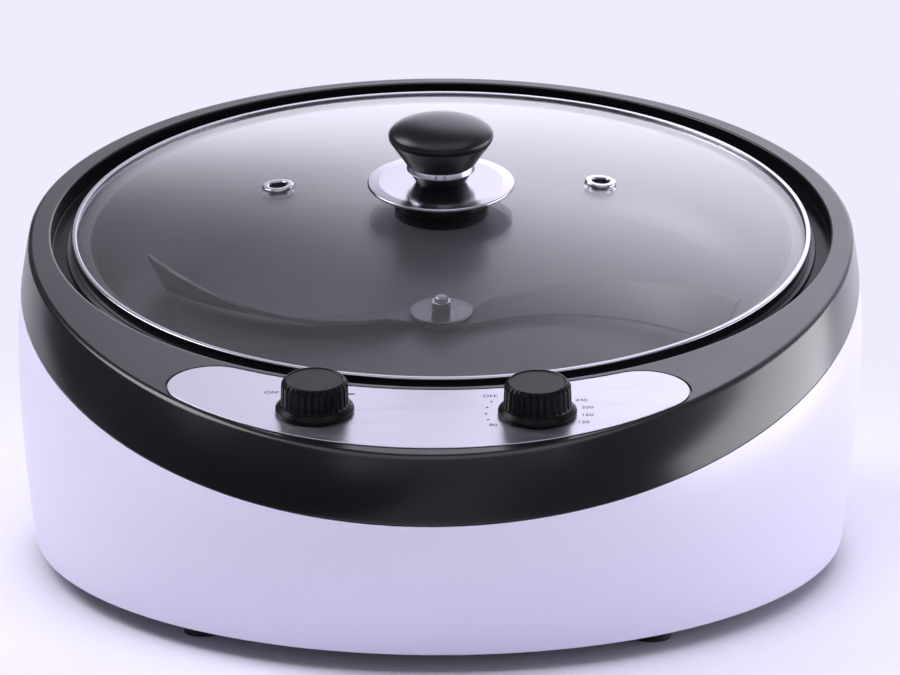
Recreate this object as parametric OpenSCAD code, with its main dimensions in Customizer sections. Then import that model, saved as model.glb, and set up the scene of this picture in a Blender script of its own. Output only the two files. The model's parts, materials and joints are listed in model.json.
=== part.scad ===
// Home coffee bean roaster: a wedge-shaped casing with a tilted round pan,
// a stirring blade driven from below, a lift-off glass lid and two dials.
// Millimetres, +Z up, front towards -Y, resting on four feet at z = 0.

/* [Casing] */
// Tilt of the lid, pan and stirrer towards the front, degrees
tilt = 12.5; // [10:0.5:14]
// Height of the lid seat's centre above the casing's lower edge
seat_height = 130.6; // [127:0.2:148]
// Width of the casing beside the lid's recess, at its widest line
side_margin = 14; // [12:1:22]
// Depth of the casing in front of the lid's recess, at its widest line
front_margin = 73; // [70:1:80]
// Depth of the casing behind the lid's recess, at its widest line
back_margin = 7; // [6:1:16]
// How far the casing draws in from its widest line to its lower edge
lower_draw = 7; // [3:0.5:10]
// How far the casing draws in from its widest line to its top edge
upper_draw = 4.5; // [2:0.5:5]
// Share of the height at which the casing is widest
belly_share = 0.7; // [0.6:0.05:0.8]
// How much the casing's top narrows towards its nose, as a share of its width
nose_taper = 0.11; // [0:0.01:0.14]
// Wall of the plastic casing
wall = 2.6; // [2:0.1:3.2]
// Width of the flange inside the lower edge
flange_w = 14; // [12:1:18]
// Slope of the line where the white shell meets the black cover, degrees
seam_tilt = 13.6; // [12.5:0.1:15]
// How far that line lies below the lid's seat, at the lid's axis
seam_drop = 15.5; // [12:0.5:18]
// Thickness of the cover's top plate
cover_t = 3.5; // [3:0.5:4.5]
// Height of the cover's top face above the lid seat's centre plane
cover_rise = 3.5; // [2:0.5:5]

/* [Lid] */
// Radius over the lid's steel rim
lid_r = 161.3; // [158:0.1:162]
// Gap between the rim and the wall of the recess it lies in
recess_gap = 8.7; // [7.5:0.1:10]
// Radial thickness of the steel rim
rim_w = 1.6; // [1.4:0.1:2.5]
// Height of the steel rim
rim_h = 6; // [5.6:0.1:6.6]
// Thickness of the glass
glass_t = 4; // [3.5:0.1:4.2]
// Rise of the glass dome at its centre
dome_rise = 13.2; // [9:0.1:18]
// Radius of the steam vents' clear bore
vent_r = 3.8; // [2.5:0.1:4.2]
// Distance of each vent in from the lid's edge
vent_inset = 86.3; // [70:0.1:100]
// Radius of the black collar under the steel disc
collar_r = 20.5; // [18:0.5:24]
// Height of that collar
collar_h = 7.6; // [6:0.2:12]
// Radius of the steel disc under the lid's knob
disc_r = 32; // [26:0.5:36]
// Radius of the lid's knob at its head
head_r = 22.8; // [20:0.2:26]
// Height of the lid's knob above the steel disc
head_h = 28; // [25:0.5:34]

/* [Pan and stirrer] */
// Distance from the lid's edge in to the pan's wall
pan_inset = 9; // [8:0.5:12]
// Width of the rounding between the pan's flat floor and its wall
pan_fillet = 28; // [22:1:32]
// Depth of the pan below the lid's rim
pan_depth = 40.5; // [38:0.5:46]
// Thickness of the pan
pan_t = 2; // [1.5:0.1:2.4]
// How far the pan's flange stands out from under the lid's rim
flange_reach = 2.2; // [1.8:0.1:4]
// Distance from the pan's wall in to the stirring blade's ends
blade_inset = 22; // [19:1:26]
// Thickness of the stirring blade
blade_t = 2; // [1.5:0.1:2.4]
// Height of the blade's upper edge at its outer end, above its lower edge
blade_rise = 19; // [14:0.5:22]
// Gap between the blade and the pan's floor
blade_gap = 0.8; // [0.6:0.1:1.5]
// Radius of the stirrer's clamping disc
clamp_r = 14; // [11:0.2:16]
// Radius of the drive shaft
shaft_r = 4; // [3.5:0.25:4.5]

/* [Dials] */
// Distance of each dial from the centre line
dial_spread = 45; // [42:1:56]
// Distance from the panel's back edge to the dials' axes
dial_inset = 21.3; // [20:0.1:26]
// Radius of a dial's skirt
skirt_r = 16; // [15:0.2:17]
// Radius of a dial's grip
grip_r = 13.8; // [13:0.2:14.6]
// Height of a dial above the panel
dial_h = 13.6; // [11:0.2:18]
// Number of flutes round a dial
flutes = 28; // [18:2:32]
// Radius of a dial's shaft
dial_shaft_r = 3; // [2.5:0.25:3.5]
// Thickness of the steel panel
panel_t = 1; // [0.8:0.1:1.4]
// Width of the cover's face left in front of the panel
panel_margin = 8.4; // [7:0.1:10]
// Radius of the panel's rounded ends
panel_end_r = 19; // [17:0.5:20]
// How much more the panel's front edge curves than the recess, as a difference of radius
panel_arc_less = 32; // [28:1:36]

/* [Drive] */
// Gear module
gear_module = 1; // [0.8:0.1:1.1]
// Teeth of the gear on the stirrer's shaft
gear_teeth = 60; // [52:2:62]
// Teeth of the motor's pinion
pinion_teeth = 12; // [12:2:16]
// Width of both gears' teeth
gear_w = 6; // [4:0.5:8]
// Radius of the motor's can
motor_r = 28; // [22:1:32]
// Height of the motor's can
motor_h = 24; // [18:1:26]
// Radius of the heating element's tube
heater_tube_r = 3.5; // [3:0.25:4]
// Distance of the heating element's ring in from the pan's wall
heater_inset = 60; // [48:1:68]
// Depth of the heat shield below the pan
shield_drop = 16; // [14:1:20]

/* [Base] */
// Height of the rubber feet below the casing
foot_h = 8; // [6:0.5:12]
// Radius of a foot
foot_r = 9.5; // [9:0.5:13]
// Distance of the front feet in from the casing's lower edge
foot_inset = 23; // [21:1:32]
// Thickness of the base plate
base_t = 2; // [1.5:0.1:3]
// Radius of the bore in the mains gland
gland_bore_r = 3.75; // [3:0.25:4.5]

/* [Hidden] */

$fn = 96;
fit = 0.3;                 // clearance of a piece laid in a recess or put through a hole
run = 0.08;                // radial clearance of a turning shaft
seat_gap = 0.3;            // rise of a turning piece above what it turns on

// ---- Levels along the tilted axis, from the lid's seat ------------------

face_h = cover_rise;                       // the cover's top face
panel_top = face_h + 0.2;                  // the panel stands just proud of it
lid_low = -rim_h / 2;                      // underside of the lid's rim
pan_flange_t = 1.2;
ledge_h = lid_low - pan_flange_t;          // ledge that carries the pan's flange
ledge_t = 2.4;
floor_h = lid_low - pan_depth;             // the pan's floor
pan_low = floor_h - pan_t;
shield_h = pan_low - shield_drop;          // the heat shield's upper face
shield_t = 1.2;
plate_h = shield_h - shield_t;             // upper face of the gearbox's plate
plate_t = 2;
gear_space = gear_w + 2;
case_floor_h = plate_h - plate_t - gear_space;
case_t = 3;
motor_top = case_floor_h - case_t;
gear_low = case_floor_h + 1;

recess_r = lid_r + recess_gap;
// Largest reach of the casing from the lid's axis: to each side, to the front and to the back
side_reach = recess_r + side_margin;
front_reach = recess_r + front_margin;
back_reach = recess_r + back_margin;
axis_y = (front_reach - back_reach) / 2;
seat_z = foot_h + seat_height;
tray_r = recess_r + 2;
pan_r = lid_r - pan_inset;                 // the pan at its rim, inside
floor_r = pan_r - 2 - pan_fillet;          // the pan's flat floor
pan_flange_r = lid_r + flange_reach;
opening_r = pan_r + pan_t + 2;

// Origin at the centre of the lid's seat, +Z along the lid's and the stirrer's axis
module on_axis(h = 0) translate([0, axis_y, seat_z]) rotate([tilt, 0, 0]) translate([0, 0, h]) children();
// The same frame with its origin on a dial's axis; side is -1 for left and 1 for right
module on_dial(side, h = 0) on_axis(h) translate([side * dial_spread, -dial_front, 0]) children();
module ring(outer, inner, h) difference() {
    cylinder(r = outer, h = h);
    translate([0, 0, -1]) cylinder(r = inner, h = h + 2);
}

// ---- The casing's shape -------------------------------------------------

points_round = 96;
function turn(i) = 360 * i / points_round;
nose_draw = 2.4 * upper_draw;              // how far the casing's front draws in to its top edge
// A size that is `low` at the lower edge, `belly` at the widest line and `high` at the top edge
function drawn(s, low, belly, high) =
    s < belly_share ? low + (belly - low) * sin(90 * s / belly_share)
                    : high + (belly - high) * cos(90 * (s - belly_share) / (1 - belly_share));
// Plan of the casing at a share s of its height, drawn in by `inset`
function plan(a, s, inset = 0) =
    let (w = drawn(s, side_reach - lower_draw, side_reach, side_reach - upper_draw) - inset,
         f = drawn(s, front_reach - 2 * lower_draw, front_reach, front_reach - nose_draw) - inset,
         b = drawn(s, back_reach - lower_draw, back_reach, back_reach - upper_draw) - inset,
         nose = sin(a) < 0 ? 1 - nose_taper * pow(s, 3) * pow(sin(a), 2) : 1)
    [w * nose * cos(a), axis_y + (sin(a) > 0 ? b : f) * sin(a)];
function face_z(y) = seat_z + face_h / cos(tilt) + (y - axis_y) * tan(tilt);
function seam_z(y) = seat_z - seam_drop + (y - axis_y) * tan(seam_tilt);
// A point on the casing's skin: angle a round it, share s of the height there
function skin(a, s, inset = 0) =
    let (p = plan(a, s, inset)) [p[0], p[1], foot_h + s * (face_z(p[1]) - foot_h)];
// The share of the height at which the skin meets the seam, by repeated approach
function seam_share(a, s = 0.75, rounds = 4) =
    rounds == 0 ? s
    : let (y = plan(a, s)[1]) seam_share(a, (seam_z(y) - foot_h) / (face_z(y) - foot_h), rounds - 1);

// Triangles between rings of points; `closed` joins the last ring to the first
function side_faces(rings, closed) =
    [for (j = [0 : rings - (closed ? 1 : 2)], i = [0 : points_round - 1])
        let (n = points_round, k = (i + 1) % n, up = (j + 1) % rings)
        each [[j * n + i, up * n + k, j * n + k], [j * n + i, up * n + i, up * n + k]]];
// Triangles from a centre point to the ring whose first point is `first`
function fan(first, centre, faces_up) =
    [for (i = [0 : points_round - 1]) let (p = first + i, q = first + (i + 1) % points_round)
        faces_up ? [centre, q, p] : [centre, p, q]];
function middle(ring) = [for (k = [0 : 2]) [for (p = ring) p[k]] * [for (p = ring) 1] / points_round];
// A solid made of rings stacked upwards, closed by a fan at each end
module stack(rings) {
    n = len(rings) * points_round;
    faces = [each side_faces(len(rings), false), each fan(0, n, false),
             each fan(n - points_round, n + 1, true)];
    polyhedron([for (r = rings) each r, middle(rings[0]), middle(rings[len(rings) - 1])], faces, convexity = 6);
}

// ---- Casing -------------------------------------------------------------

shell_steps = 7;
flange_t = 3;
flange_z = foot_h + base_t;
// Cover posts and base screws: angles round the casing, and their inset from its lower edge
post_angles = [32, 148, 212, 328];
post_r = 5;
post_inset = wall + flange_w / 2;
base_screw_r = 1.8;
function post_at(a) = plan(a, 0, post_inset);

// Section of the shell at an angle: up the outside, down the inside, round the flange
function shell_section(a) =
    let (top = seam_share(a), n = shell_steps, at_wall = plan(a, 0, wall), at_lip = plan(a, 0, wall + flange_w))
    [for (k = [0 : n]) skin(a, top * k / n),
     for (k = [n : -1 : 1]) skin(a, top * k / n, wall),
     [each at_wall, flange_z + flange_t], [each at_lip, flange_z + flange_t],
     [each at_lip, flange_z], [each at_wall, flange_z],
     skin(a, 0, wall)];
module lower_shell() color([0.9, 0.9, 0.95]) {
    sections = [for (i = [0 : points_round - 1]) shell_section(turn(i))];
    rings = len(sections[0]);
    difference() {
        union() {
            polyhedron([for (j = [0 : rings - 1]) for (s = sections) s[j]],
                       side_faces(rings, true), convexity = 8);
            on_gland() translate([0, 0, -gland_wall]) cylinder(r = gland_flange_r + 1.5, h = gland_wall);
        }
        on_gland() cylinder(r = gland_neck_r + fit, h = 40, center = true);
        for (a = post_angles) translate([each post_at(a), 0]) cylinder(r = base_screw_r + fit, h = 30);
    }
}

cover_steps = 6;
seam_gap = 0.4;            // shadow line between the shell and the cover
edge_round = 1.4;          // rounding of the cover's outer top edge
plate_share = cover_t / seat_height;
// Rings of the cover's outside, from the seam to its top face
function cover_ring(k) = [for (i = [0 : points_round - 1])
    let (a = turn(i), low = seam_share(a) + seam_gap / seat_height, high = 1 - edge_round / seat_height)
    k <= cover_steps ? skin(a, low + (high - low) * k / cover_steps)
    : k == cover_steps + 1 ? skin(a, 1 - 0.3 * edge_round / seat_height, 0.3 * edge_round)
    : skin(a, 1, edge_round)];
// Rings of the hollow under the cover
function hollow_ring(k) = [for (i = [0 : points_round - 1])
    let (a = turn(i), low = seam_share(a) - 0.2, high = 1 - plate_share)
    skin(a, low + (high - low) * k / 2, wall)];
lug_w = 6;
module top_cover() color([0.16, 0.14, 0.16]) {
    difference() {
        union() {
            difference() {
                stack([for (k = [0 : cover_steps + 2]) cover_ring(k)]);
                stack([for (k = [0 : 2]) hollow_ring(k)]);
            }
            on_axis(ledge_h - ledge_t) cylinder(r = tray_r, h = face_h - 0.5 - ledge_h + ledge_t);
            for (a = post_angles) let (p = post_at(a), low = flange_z + flange_t)
                translate([each p, low]) cylinder(r = post_r, h = face_z(p[1]) - 2 - low);
        }
        on_axis(ledge_h) cylinder(r = recess_r, h = 40);
        on_axis(-40) cylinder(r = opening_r, h = 80);
        on_axis(panel_top - panel_t) linear_extrude(10) panel_outline(fit);
        for (side = [-1, 1]) on_dial(side, -20) cylinder(r = neck_r + fit, h = 40);
        for (a = post_angles) translate([each post_at(a), 0]) cylinder(r = base_screw_r, h = 30);
    }
    // Lugs that centre the pan and the lid in the recess
    for (side = [0, 180]) on_axis(ledge_h - 0.5) rotate([0, 0, side])
        translate([pan_flange_r + fit, -lug_w / 2, 0])
        cube([recess_r + 1 - pan_flange_r - fit, lug_w, face_h - 1 - ledge_h]);
}

slot_count = 9;
slot_w = 5;
slot_pitch = 11;
slot_l = 70;
module base_plate() color([0.6, 0.62, 0.65]) difference() {
    translate([0, 0, foot_h]) linear_extrude(base_t) polygon([for (i = [0 : points_round - 1])
        plan(turn(i), 0, wall + fit)]);
    for (k = [0 : slot_count - 1]) translate([(k - (slot_count - 1) / 2) * slot_pitch, axis_y, 0])
        cube([slot_w, slot_l, 40], center = true);
    for (p = foot_places) translate([each p, 0]) cylinder(r = foot_screw_r + fit, h = 30);
    for (a = post_angles) translate([each post_at(a), 0]) cylinder(r = base_screw_r + fit, h = 30);
    for (x = [-1, 1]) on_block() translate([x * block_screw_x, 0, -10])
        cylinder(r = block_screw_r + fit, h = 20);
}

// ---- Control panel and dials --------------------------------------------

panel_back_r = recess_r + 4;
panel_arc_r = recess_r - panel_arc_less;
dial_front = panel_back_r + dial_inset;
panel_front = (front_reach - nose_draw) / cos(tilt) - panel_margin;
arc_v = panel_arc_r - panel_front;         // centre of the front edge's arc
// Centre of the right end's arc, tangent to the back edge and the front edge
end_v = (pow(panel_arc_r - panel_end_r, 2) - pow(panel_back_r + panel_end_r, 2) - arc_v * arc_v) / (-2 * arc_v);
end_u = sqrt(pow(panel_back_r + panel_end_r, 2) - end_v * end_v);
// Outline of the panel in the tilted plane, grown by `grow`
module panel_outline(grow = 0) {
    back = panel_back_r / (panel_back_r + panel_end_r);
    reach = panel_arc_r / (panel_arc_r - panel_end_r);
    intersection() {
        difference() {
            translate([0, arc_v]) circle(r = panel_arc_r + grow, $fn = 192);
            circle(r = panel_back_r - grow, $fn = 192);
        }
        polygon([[-end_u * 0.5, end_v * 0.5], [-end_u * back, end_v * back], [-end_u, end_v],
                 [-end_u * reach, arc_v + (end_v - arc_v) * reach], [-end_u, -2 * panel_front],
                 [end_u, -2 * panel_front], [end_u * reach, arc_v + (end_v - arc_v) * reach],
                 [end_u, end_v], [end_u * back, end_v * back], [end_u * 0.5, end_v * 0.5]]);
    }
    for (side = [-1, 1]) translate([side * end_u, end_v]) circle(r = panel_end_r + grow);
}
module control_panel() color([0.82, 0.82, 0.86]) difference() {
    on_axis(panel_top - panel_t) linear_extrude(panel_t) panel_outline();
    for (side = [-1, 1]) on_dial(side, -20) cylinder(r = neck_r + fit, h = 40);
}

dial_gap = 0.4;            // gap under a dial
neck_r = dial_shaft_r + 1.6;
grip_depth = dial_h - 3.5; // depth of a shaft in its dial
switch_top = face_h - cover_t - seat_gap;
// Fluted dial with a thin skirt; its axis is the shaft's
module dial(side) on_dial(side, panel_top + dial_gap) difference() {
    union() {
        rotate_extrude() polygon([[0, 0], [skirt_r, 0], [skirt_r, 1.2], [grip_r, 3.2], [0, 3.2]]);
        intersection() {
            linear_extrude(dial_h) difference() {
                circle(r = grip_r);
                for (k = [0 : flutes - 1]) rotate(360 * k / flutes)
                    translate([grip_r + 0.35, 0]) circle(r = 0.8, $fn = 16);
            }
            rotate_extrude() polygon([[0, 0], [grip_r, 0], [grip_r, dial_h - 1.6],
                [grip_r - 1.4, dial_h], [0, dial_h]]);
        }
    }
    translate([0, 0, -1]) cylinder(r = dial_shaft_r, h = grip_depth + 1);
}
module dial_shaft(side) on_dial(side, switch_top - 8)
    cylinder(r = dial_shaft_r, h = panel_top + dial_gap + grip_depth - switch_top + 8);
// Housing of a dial's switch, with the neck that passes through the cover
module switch_body(side, r, h) on_dial(side) difference() {
    union() {
        translate([0, 0, switch_top - h]) cylinder(r = r, h = h);
        translate([0, 0, switch_top - 1]) cylinder(r = neck_r, h = panel_top - switch_top + 1);
        for (x = [-1, 1]) translate([x * r * 0.5 - 3, -0.4, switch_top - h - 7]) cube([6, 0.8, 8]);
    }
    translate([0, 0, switch_top - 8]) cylinder(r = dial_shaft_r + run, h = 40);
}
module timer_knob() color([0.1, 0.09, 0.1]) dial(-1);
module timer_shaft() color("silver") dial_shaft(-1);
module timer_body() color([0.8, 0.75, 0.6]) switch_body(-1, 19, 24);
module thermostat_knob() color([0.1, 0.09, 0.1]) dial(1);
module thermostat_shaft() color("silver") dial_shaft(1);
module thermostat_body() color([0.75, 0.75, 0.7]) switch_body(1, 16, 16);

// ---- Lid ----------------------------------------------------------------

glass_r = lid_r - rim_w - 0.1;
glass_edge_h = glass_t / 2 - 0.2;          // top of the glass at its edge
apex_h = glass_edge_h + dome_rise;
dome_r = (glass_r * glass_r + dome_rise * dome_rise) / (2 * dome_rise);
clamp_hole_r = 5;
vent_reach = lid_r - vent_inset;
grommet_neck_r = vent_r + 1.2;
grommet_flange_r = vent_r + 3.2;
// Frame on the glass dome's top face, square to it
module on_dome(angle) on_axis(apex_h - dome_r) rotate([0, 0, angle]) rotate([0, asin(vent_reach / dome_r), 0])
    translate([0, 0, dome_r]) children();
vent_angles = [164.5, 22.4];
module lid_glass() color([0.6, 0.6, 0.65, 0.35]) difference() {
    on_axis() rotate_extrude() intersection() {
        translate([0, apex_h - dome_r]) difference() {
            circle(r = dome_r, $fn = 1440);
            circle(r = dome_r - glass_t, $fn = 1440);
        }
        translate([0, -glass_t]) square([glass_r, glass_t + apex_h + 5]);
    }
    for (a = vent_angles) on_dome(a) cylinder(r = grommet_neck_r + 0.2, h = 40, center = true);
    on_axis() cylinder(r = clamp_hole_r, h = 80, center = true);
}
rim_lip = 0.8;
module lid_rim() color("silver") on_axis() rotate_extrude() difference() {
    intersection() {
        translate([lid_r - rim_w - rim_lip, lid_low]) square([rim_w + rim_lip, rim_h]);
        translate([lid_r - rim_h * 0.6, 0]) circle(r = rim_h * 0.6);
    }
    translate([lid_r - rim_w - rim_h, -glass_t / 2 - 0.3]) square([rim_h, glass_t + 0.4]);
}
module grommet(angle) color("silver") on_dome(angle) difference() {
    union() {
        cylinder(r = grommet_flange_r, h = 1.4);
        translate([0, 0, -glass_t - 1.4]) cylinder(r = grommet_neck_r, h = glass_t + 2);
        translate([0, 0, -glass_t - 1.6]) cylinder(r = grommet_flange_r, h = 1.4);
    }
    cylinder(r = vent_r, h = 40, center = true);
}
module vent_grommet_left() grommet(vent_angles[0]);
module vent_grommet_right() grommet(vent_angles[1]);

disc_t = 1.4;
collar_top = apex_h + collar_h;
disc_top = collar_top + disc_t;
washer_t = 3.6;
washer_low = apex_h - glass_t - 0.2 - washer_t;
lid_screw_r = 2.5;
screw_head_h = 2.6;
neck_h = 6;
ferrule_h = 3;
module lid_collar() color([0.08, 0.07, 0.09]) on_axis(apex_h) ring(collar_r, lid_screw_r + fit, collar_h);
module lid_washer() color([0.08, 0.07, 0.09]) on_axis(washer_low) ring(collar_r, lid_screw_r + fit, washer_t);
// Flat steel disc with its edges broken
module lid_disc() color("silver") on_axis(collar_top) rotate_extrude()
    polygon([[lid_screw_r + fit, 0], [disc_r - 0.4, 0], [disc_r, 0.4],
             [disc_r - 0.6, disc_t], [lid_screw_r + fit, disc_t]]);
// Half outline of the knob's head above the ferrule, as a mushroom
head_low = disc_top + neck_h + ferrule_h;
head_mid = disc_top + head_h * 0.78;
head_steps = 7;
module lid_knob() color([0.13, 0.12, 0.15]) on_axis() difference() {
    rotate_extrude() polygon([[0, disc_top], [10.5, disc_top], [14, disc_top + neck_h], [12, disc_top + neck_h],
        [12, head_low], [head_r - 7.6, head_low + 0.3], [head_r - 0.4, head_mid - 1.8],
        for (k = [0 : head_steps]) let (a = 90 * k / head_steps)
            [head_r * pow(cos(a), 0.8), head_mid + (disc_top + head_h - head_mid) * sin(a)]]);
    translate([0, 0, disc_top - 1]) cylinder(r = lid_screw_r, h = 16);
}
module lid_ferrule() color("silver") on_axis(disc_top + neck_h) rotate_extrude()
    polygon([[12.1, 0], [14.6, 0], [15, 0.8], [14.6, ferrule_h], [12.1, ferrule_h]]);
module lid_screw() color("silver") on_axis(washer_low) {
    translate([0, 0, -screw_head_h]) cylinder(r = 6, h = screw_head_h);
    cylinder(r = lid_screw_r, h = disc_top + 12 - washer_low);
}

// ---- Pan and stirrer ----------------------------------------------------

fillet_steps = 8;
// Half outline of the pan's wall, moved outwards by `out`
function pan_wall(out) = [for (k = [0 : fillet_steps]) let (a = 90 * k / fillet_steps)
    [floor_r + (pan_fillet + out) * sin(a), floor_h + pan_fillet - (pan_fillet + out) * cos(a)]];
bush_r = 7;
bush_flange_r = 9;
bush_top = floor_h + 1.2;
bush_low = pan_low - 5;
module roasting_pan() color([0.2, 0.2, 0.22]) on_axis() rotate_extrude() polygon([
    [bush_r + 0.05, floor_h], each pan_wall(0), [pan_r, ledge_h], [pan_r, lid_low], [pan_flange_r, lid_low],
    [pan_flange_r, ledge_h], [pan_r + pan_t, ledge_h],
    for (k = [fillet_steps : -1 : 0]) pan_wall(pan_t)[k], [bush_r + 0.05, pan_low]]);
module shaft_bush() color([0.75, 0.6, 0.3]) on_axis() difference() {
    union() {
        translate([0, 0, floor_h]) cylinder(r = bush_flange_r, h = bush_top - floor_h);
        translate([0, 0, bush_low]) cylinder(r = bush_r, h = floor_h - bush_low + 0.5);
        translate([0, 0, bush_low + 1]) cylinder(r = bush_flange_r + 2, h = pan_low - bush_low - 1, $fn = 6);
    }
    cylinder(r = shaft_r + run, h = 200, center = true);
}

hub_low = bush_top + seat_gap;             // underside of the stirrer's hub
hub_t = 2.4;
disc_clamp_t = 1.4;
nut_h = 4.5;
stud_r = shaft_r - 1;
stud_top = hub_low + hub_t + disc_clamp_t + nut_h + 2.2;
module drive_shaft() color("silver") on_axis() {
    translate([0, 0, case_floor_h - case_t + 0.5])
        cylinder(r = shaft_r, h = hub_low - case_floor_h + case_t - 0.5);
    translate([0, 0, hub_low - 1]) cylinder(r = stud_r, h = stud_top - hub_low + 1);
}
// Upper and lower edge of an arm of the blade: a share q of the way from the hub to the tip.
// Seen from above both are parabolas, in shares of the blade's reach.
blade_reach = pan_r - blade_inset;
arm_start = bush_flange_r + 0.5;
function bow(u, top, at, near, far) = blade_reach
    * (top - pow(u / blade_reach - at, 2) * (u < at * blade_reach ? near : far));
arm_low_h = floor_h + blade_gap + blade_t / 2 + 0.2;
hub_edge_h = 3;            // height of the upper edge at the hub
function lower_edge(q) = let (u = arm_start + (blade_reach - 8 - arm_start) * q)
    [u, bow(u, 0.0231, 0.4154, 1, 0.8176), arm_low_h];
function upper_edge(q) = let (u = arm_start + (blade_reach - arm_start) * q)
    [u, bow(u, 0.1654, 0.4615, 0.8667, 1.1504),
     arm_low_h + hub_edge_h + (blade_rise - hub_edge_h) * pow(q, 1.6)];
arm_steps = 14;
// The four corners of the blade's section there, half its thickness to each side
function arm_corners(q) =
    let (low = lower_edge(q), high = upper_edge(q), ahead = lower_edge(q + 0.01) - low,
         n = cross(ahead, high - low), side = n * blade_t / 2 / norm(n))
    [low + side, high + side, high - side, low - side];
module arm() {
    faces = [for (k = [0 : arm_steps - 1], c = [0 : 3]) let (p = 4 * k + c, q = 4 * k + (c + 1) % 4)
        each [[p, q, q + 4], [p, q + 4, p + 4]]];
    last = 4 * arm_steps;
    polyhedron([for (k = [0 : arm_steps]) each arm_corners(k / arm_steps)],
               [[0, 3, 2], [0, 2, 1], each faces, [last, last + 1, last + 2], [last, last + 2, last + 3]]);
}
module stirrer_blade() color([0.12, 0.12, 0.14]) on_axis() difference() {
    union() {
        translate([0, 0, hub_low]) cylinder(r = clamp_r - 0.4, h = hub_t);
        for (a = [0, 180]) rotate([0, 0, a]) arm();
    }
    translate([0, 0, hub_low + hub_t]) cylinder(r = clamp_r + 0.1, h = 10);
    cylinder(r = stud_r, h = 200, center = true);
}
module stirrer_disc() color("silver") on_axis(hub_low + hub_t) ring(clamp_r, stud_r, disc_clamp_t);
module stirrer_nut() color("silver") on_axis(hub_low + hub_t + disc_clamp_t) difference() {
    cylinder(r = 4.8, h = nut_h, $fn = 6);
    cylinder(r = stud_r, h = 40, center = true);
}

// ---- Heating ------------------------------------------------------------

heater_r = pan_r - heater_inset;
heater_h = pan_low - heater_tube_r - fit;
heater_open = 14;          // half of the angle left open at the front
module heater_ring(grow = 0) on_axis(heater_h) rotate([0, 0, heater_open - 90])
    rotate_extrude(angle = 360 - 2 * heater_open)
        translate([heater_r, 0]) circle(r = heater_tube_r + grow, $fn = 32);
module heating_element() color([0.35, 0.33, 0.32]) {
    heater_ring();
    for (side = [-1, 1]) on_axis(heater_h) rotate([0, 0, -90 + side * (heater_open + 2)])
        translate([heater_r, 0, 0]) {
            translate([0, 0, -8]) cylinder(r = heater_tube_r - 0.5, h = 8);
            translate([0, 0, -12]) cylinder(r = 1.2, h = 5);
        }
}
module heater_clips() color([0.55, 0.55, 0.57]) difference() {
    for (a = [-45, 45, 135, 225]) on_axis() rotate([0, 0, a])
        translate([heater_r - heater_tube_r - 3, -5, heater_h - heater_tube_r - 1])
        cube([2 * heater_tube_r + 6, 10, pan_low - heater_h + heater_tube_r + 1]);
    heater_ring(0.1);
}
cutout_reach = heater_r - 20;
module thermal_cutout() color([0.85, 0.83, 0.75]) on_axis(pan_low - 6) translate([cutout_reach, 0, 0]) {
    cylinder(r = 8, h = 6);
    for (x = [-1, 1]) translate([x * 4 - 0.4, -2.5, -4]) cube([0.8, 5, 5]);
}
// Shield, posts and gearbox hang from the pan on three posts
hang_reach = gear_module * (gear_teeth + 2) / 2 + 18;
hang_angles = [30, 150, 270];
hang_screw_r = 1.6;
shield_r = pan_r - 10;
module at_hangs(h) for (a = hang_angles) on_axis(h) rotate([0, 0, a]) translate([hang_reach, 0, 0]) children();
module heat_shield() color([0.75, 0.76, 0.78]) difference() {
    on_axis() rotate_extrude() polygon([[shaft_r + 4, plate_h], [shield_r, plate_h], [shield_r, shield_h + 12],
        [shield_r - shield_t, shield_h + 12], [shield_r - shield_t, shield_h], [shaft_r + 4, shield_h]]);
    at_hangs(plate_h - 5) cylinder(r = hang_screw_r + fit, h = 20);
}
module hanging_posts() color("silver") difference() {
    at_hangs(shield_h) cylinder(r = 4, h = shield_drop);
    at_hangs(shield_h - 1) cylinder(r = hang_screw_r, h = 9);
}

// ---- Gearbox and motor --------------------------------------------------

gear_distance = gear_module * (gear_teeth + pinion_teeth) / 2;
gear_tip_r = gear_module * (gear_teeth + 2) / 2;
pinion_tip_r = gear_module * (pinion_teeth + 2) / 2;
motor_shaft_r = 2;
module on_motor(h = 0) on_axis(h) translate([0, gear_distance, 0]) children();

pressure_angle = 20;
backlash = 0.16;           // play between the teeth along the pitch circle
flank_steps = 4;
// Angle of the involute where it has grown to a share x = r / base radius
function involute(x) = sqrt(x * x - 1) * 180 / PI - acos(1 / x);
// Outline of a spur gear with its first tooth on +X
module gear_outline(teeth) {
    pitch_r = gear_module * teeth / 2;
    base_r = pitch_r * cos(pressure_angle);
    tip_r = pitch_r + gear_module * 0.96;
    root_r = pitch_r - gear_module * 1.2;
    start_r = max(base_r, root_r);
    half = (90 - backlash / gear_module / PI * 180) / teeth + involute(1 / cos(pressure_angle));
    polygon([for (t = [0 : teeth - 1]) let (mid = 360 * t / teeth) each [
        [root_r * cos(mid - half), root_r * sin(mid - half)],
        for (k = [0 : flank_steps]) let (r = start_r + (tip_r - start_r) * k / flank_steps,
            a = mid - half + involute(max(1, r / base_r))) [r * cos(a), r * sin(a)],
        for (k = [flank_steps : -1 : 0]) let (r = start_r + (tip_r - start_r) * k / flank_steps,
            a = mid + half - involute(max(1, r / base_r))) [r * cos(a), r * sin(a)],
        [root_r * cos(mid + half), root_r * sin(mid + half)]]]);
}
module drive_gear() color([0.9, 0.88, 0.8]) on_axis(gear_low) difference() {
    union() {
        linear_extrude(gear_w) rotate(90) gear_outline(gear_teeth);
        cylinder(r = shaft_r + 4, h = gear_w + 0.7);
    }
    cylinder(r = shaft_r, h = 60, center = true);
}
module motor_pinion() color([0.8, 0.7, 0.45]) on_motor(gear_low) difference() {
    linear_extrude(gear_w) rotate(-90 + 180 / pinion_teeth) gear_outline(pinion_teeth);
    cylinder(r = motor_shaft_r, h = 60, center = true);
}
motor_socket = 15;         // length of the motor's shaft inside its can
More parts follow.
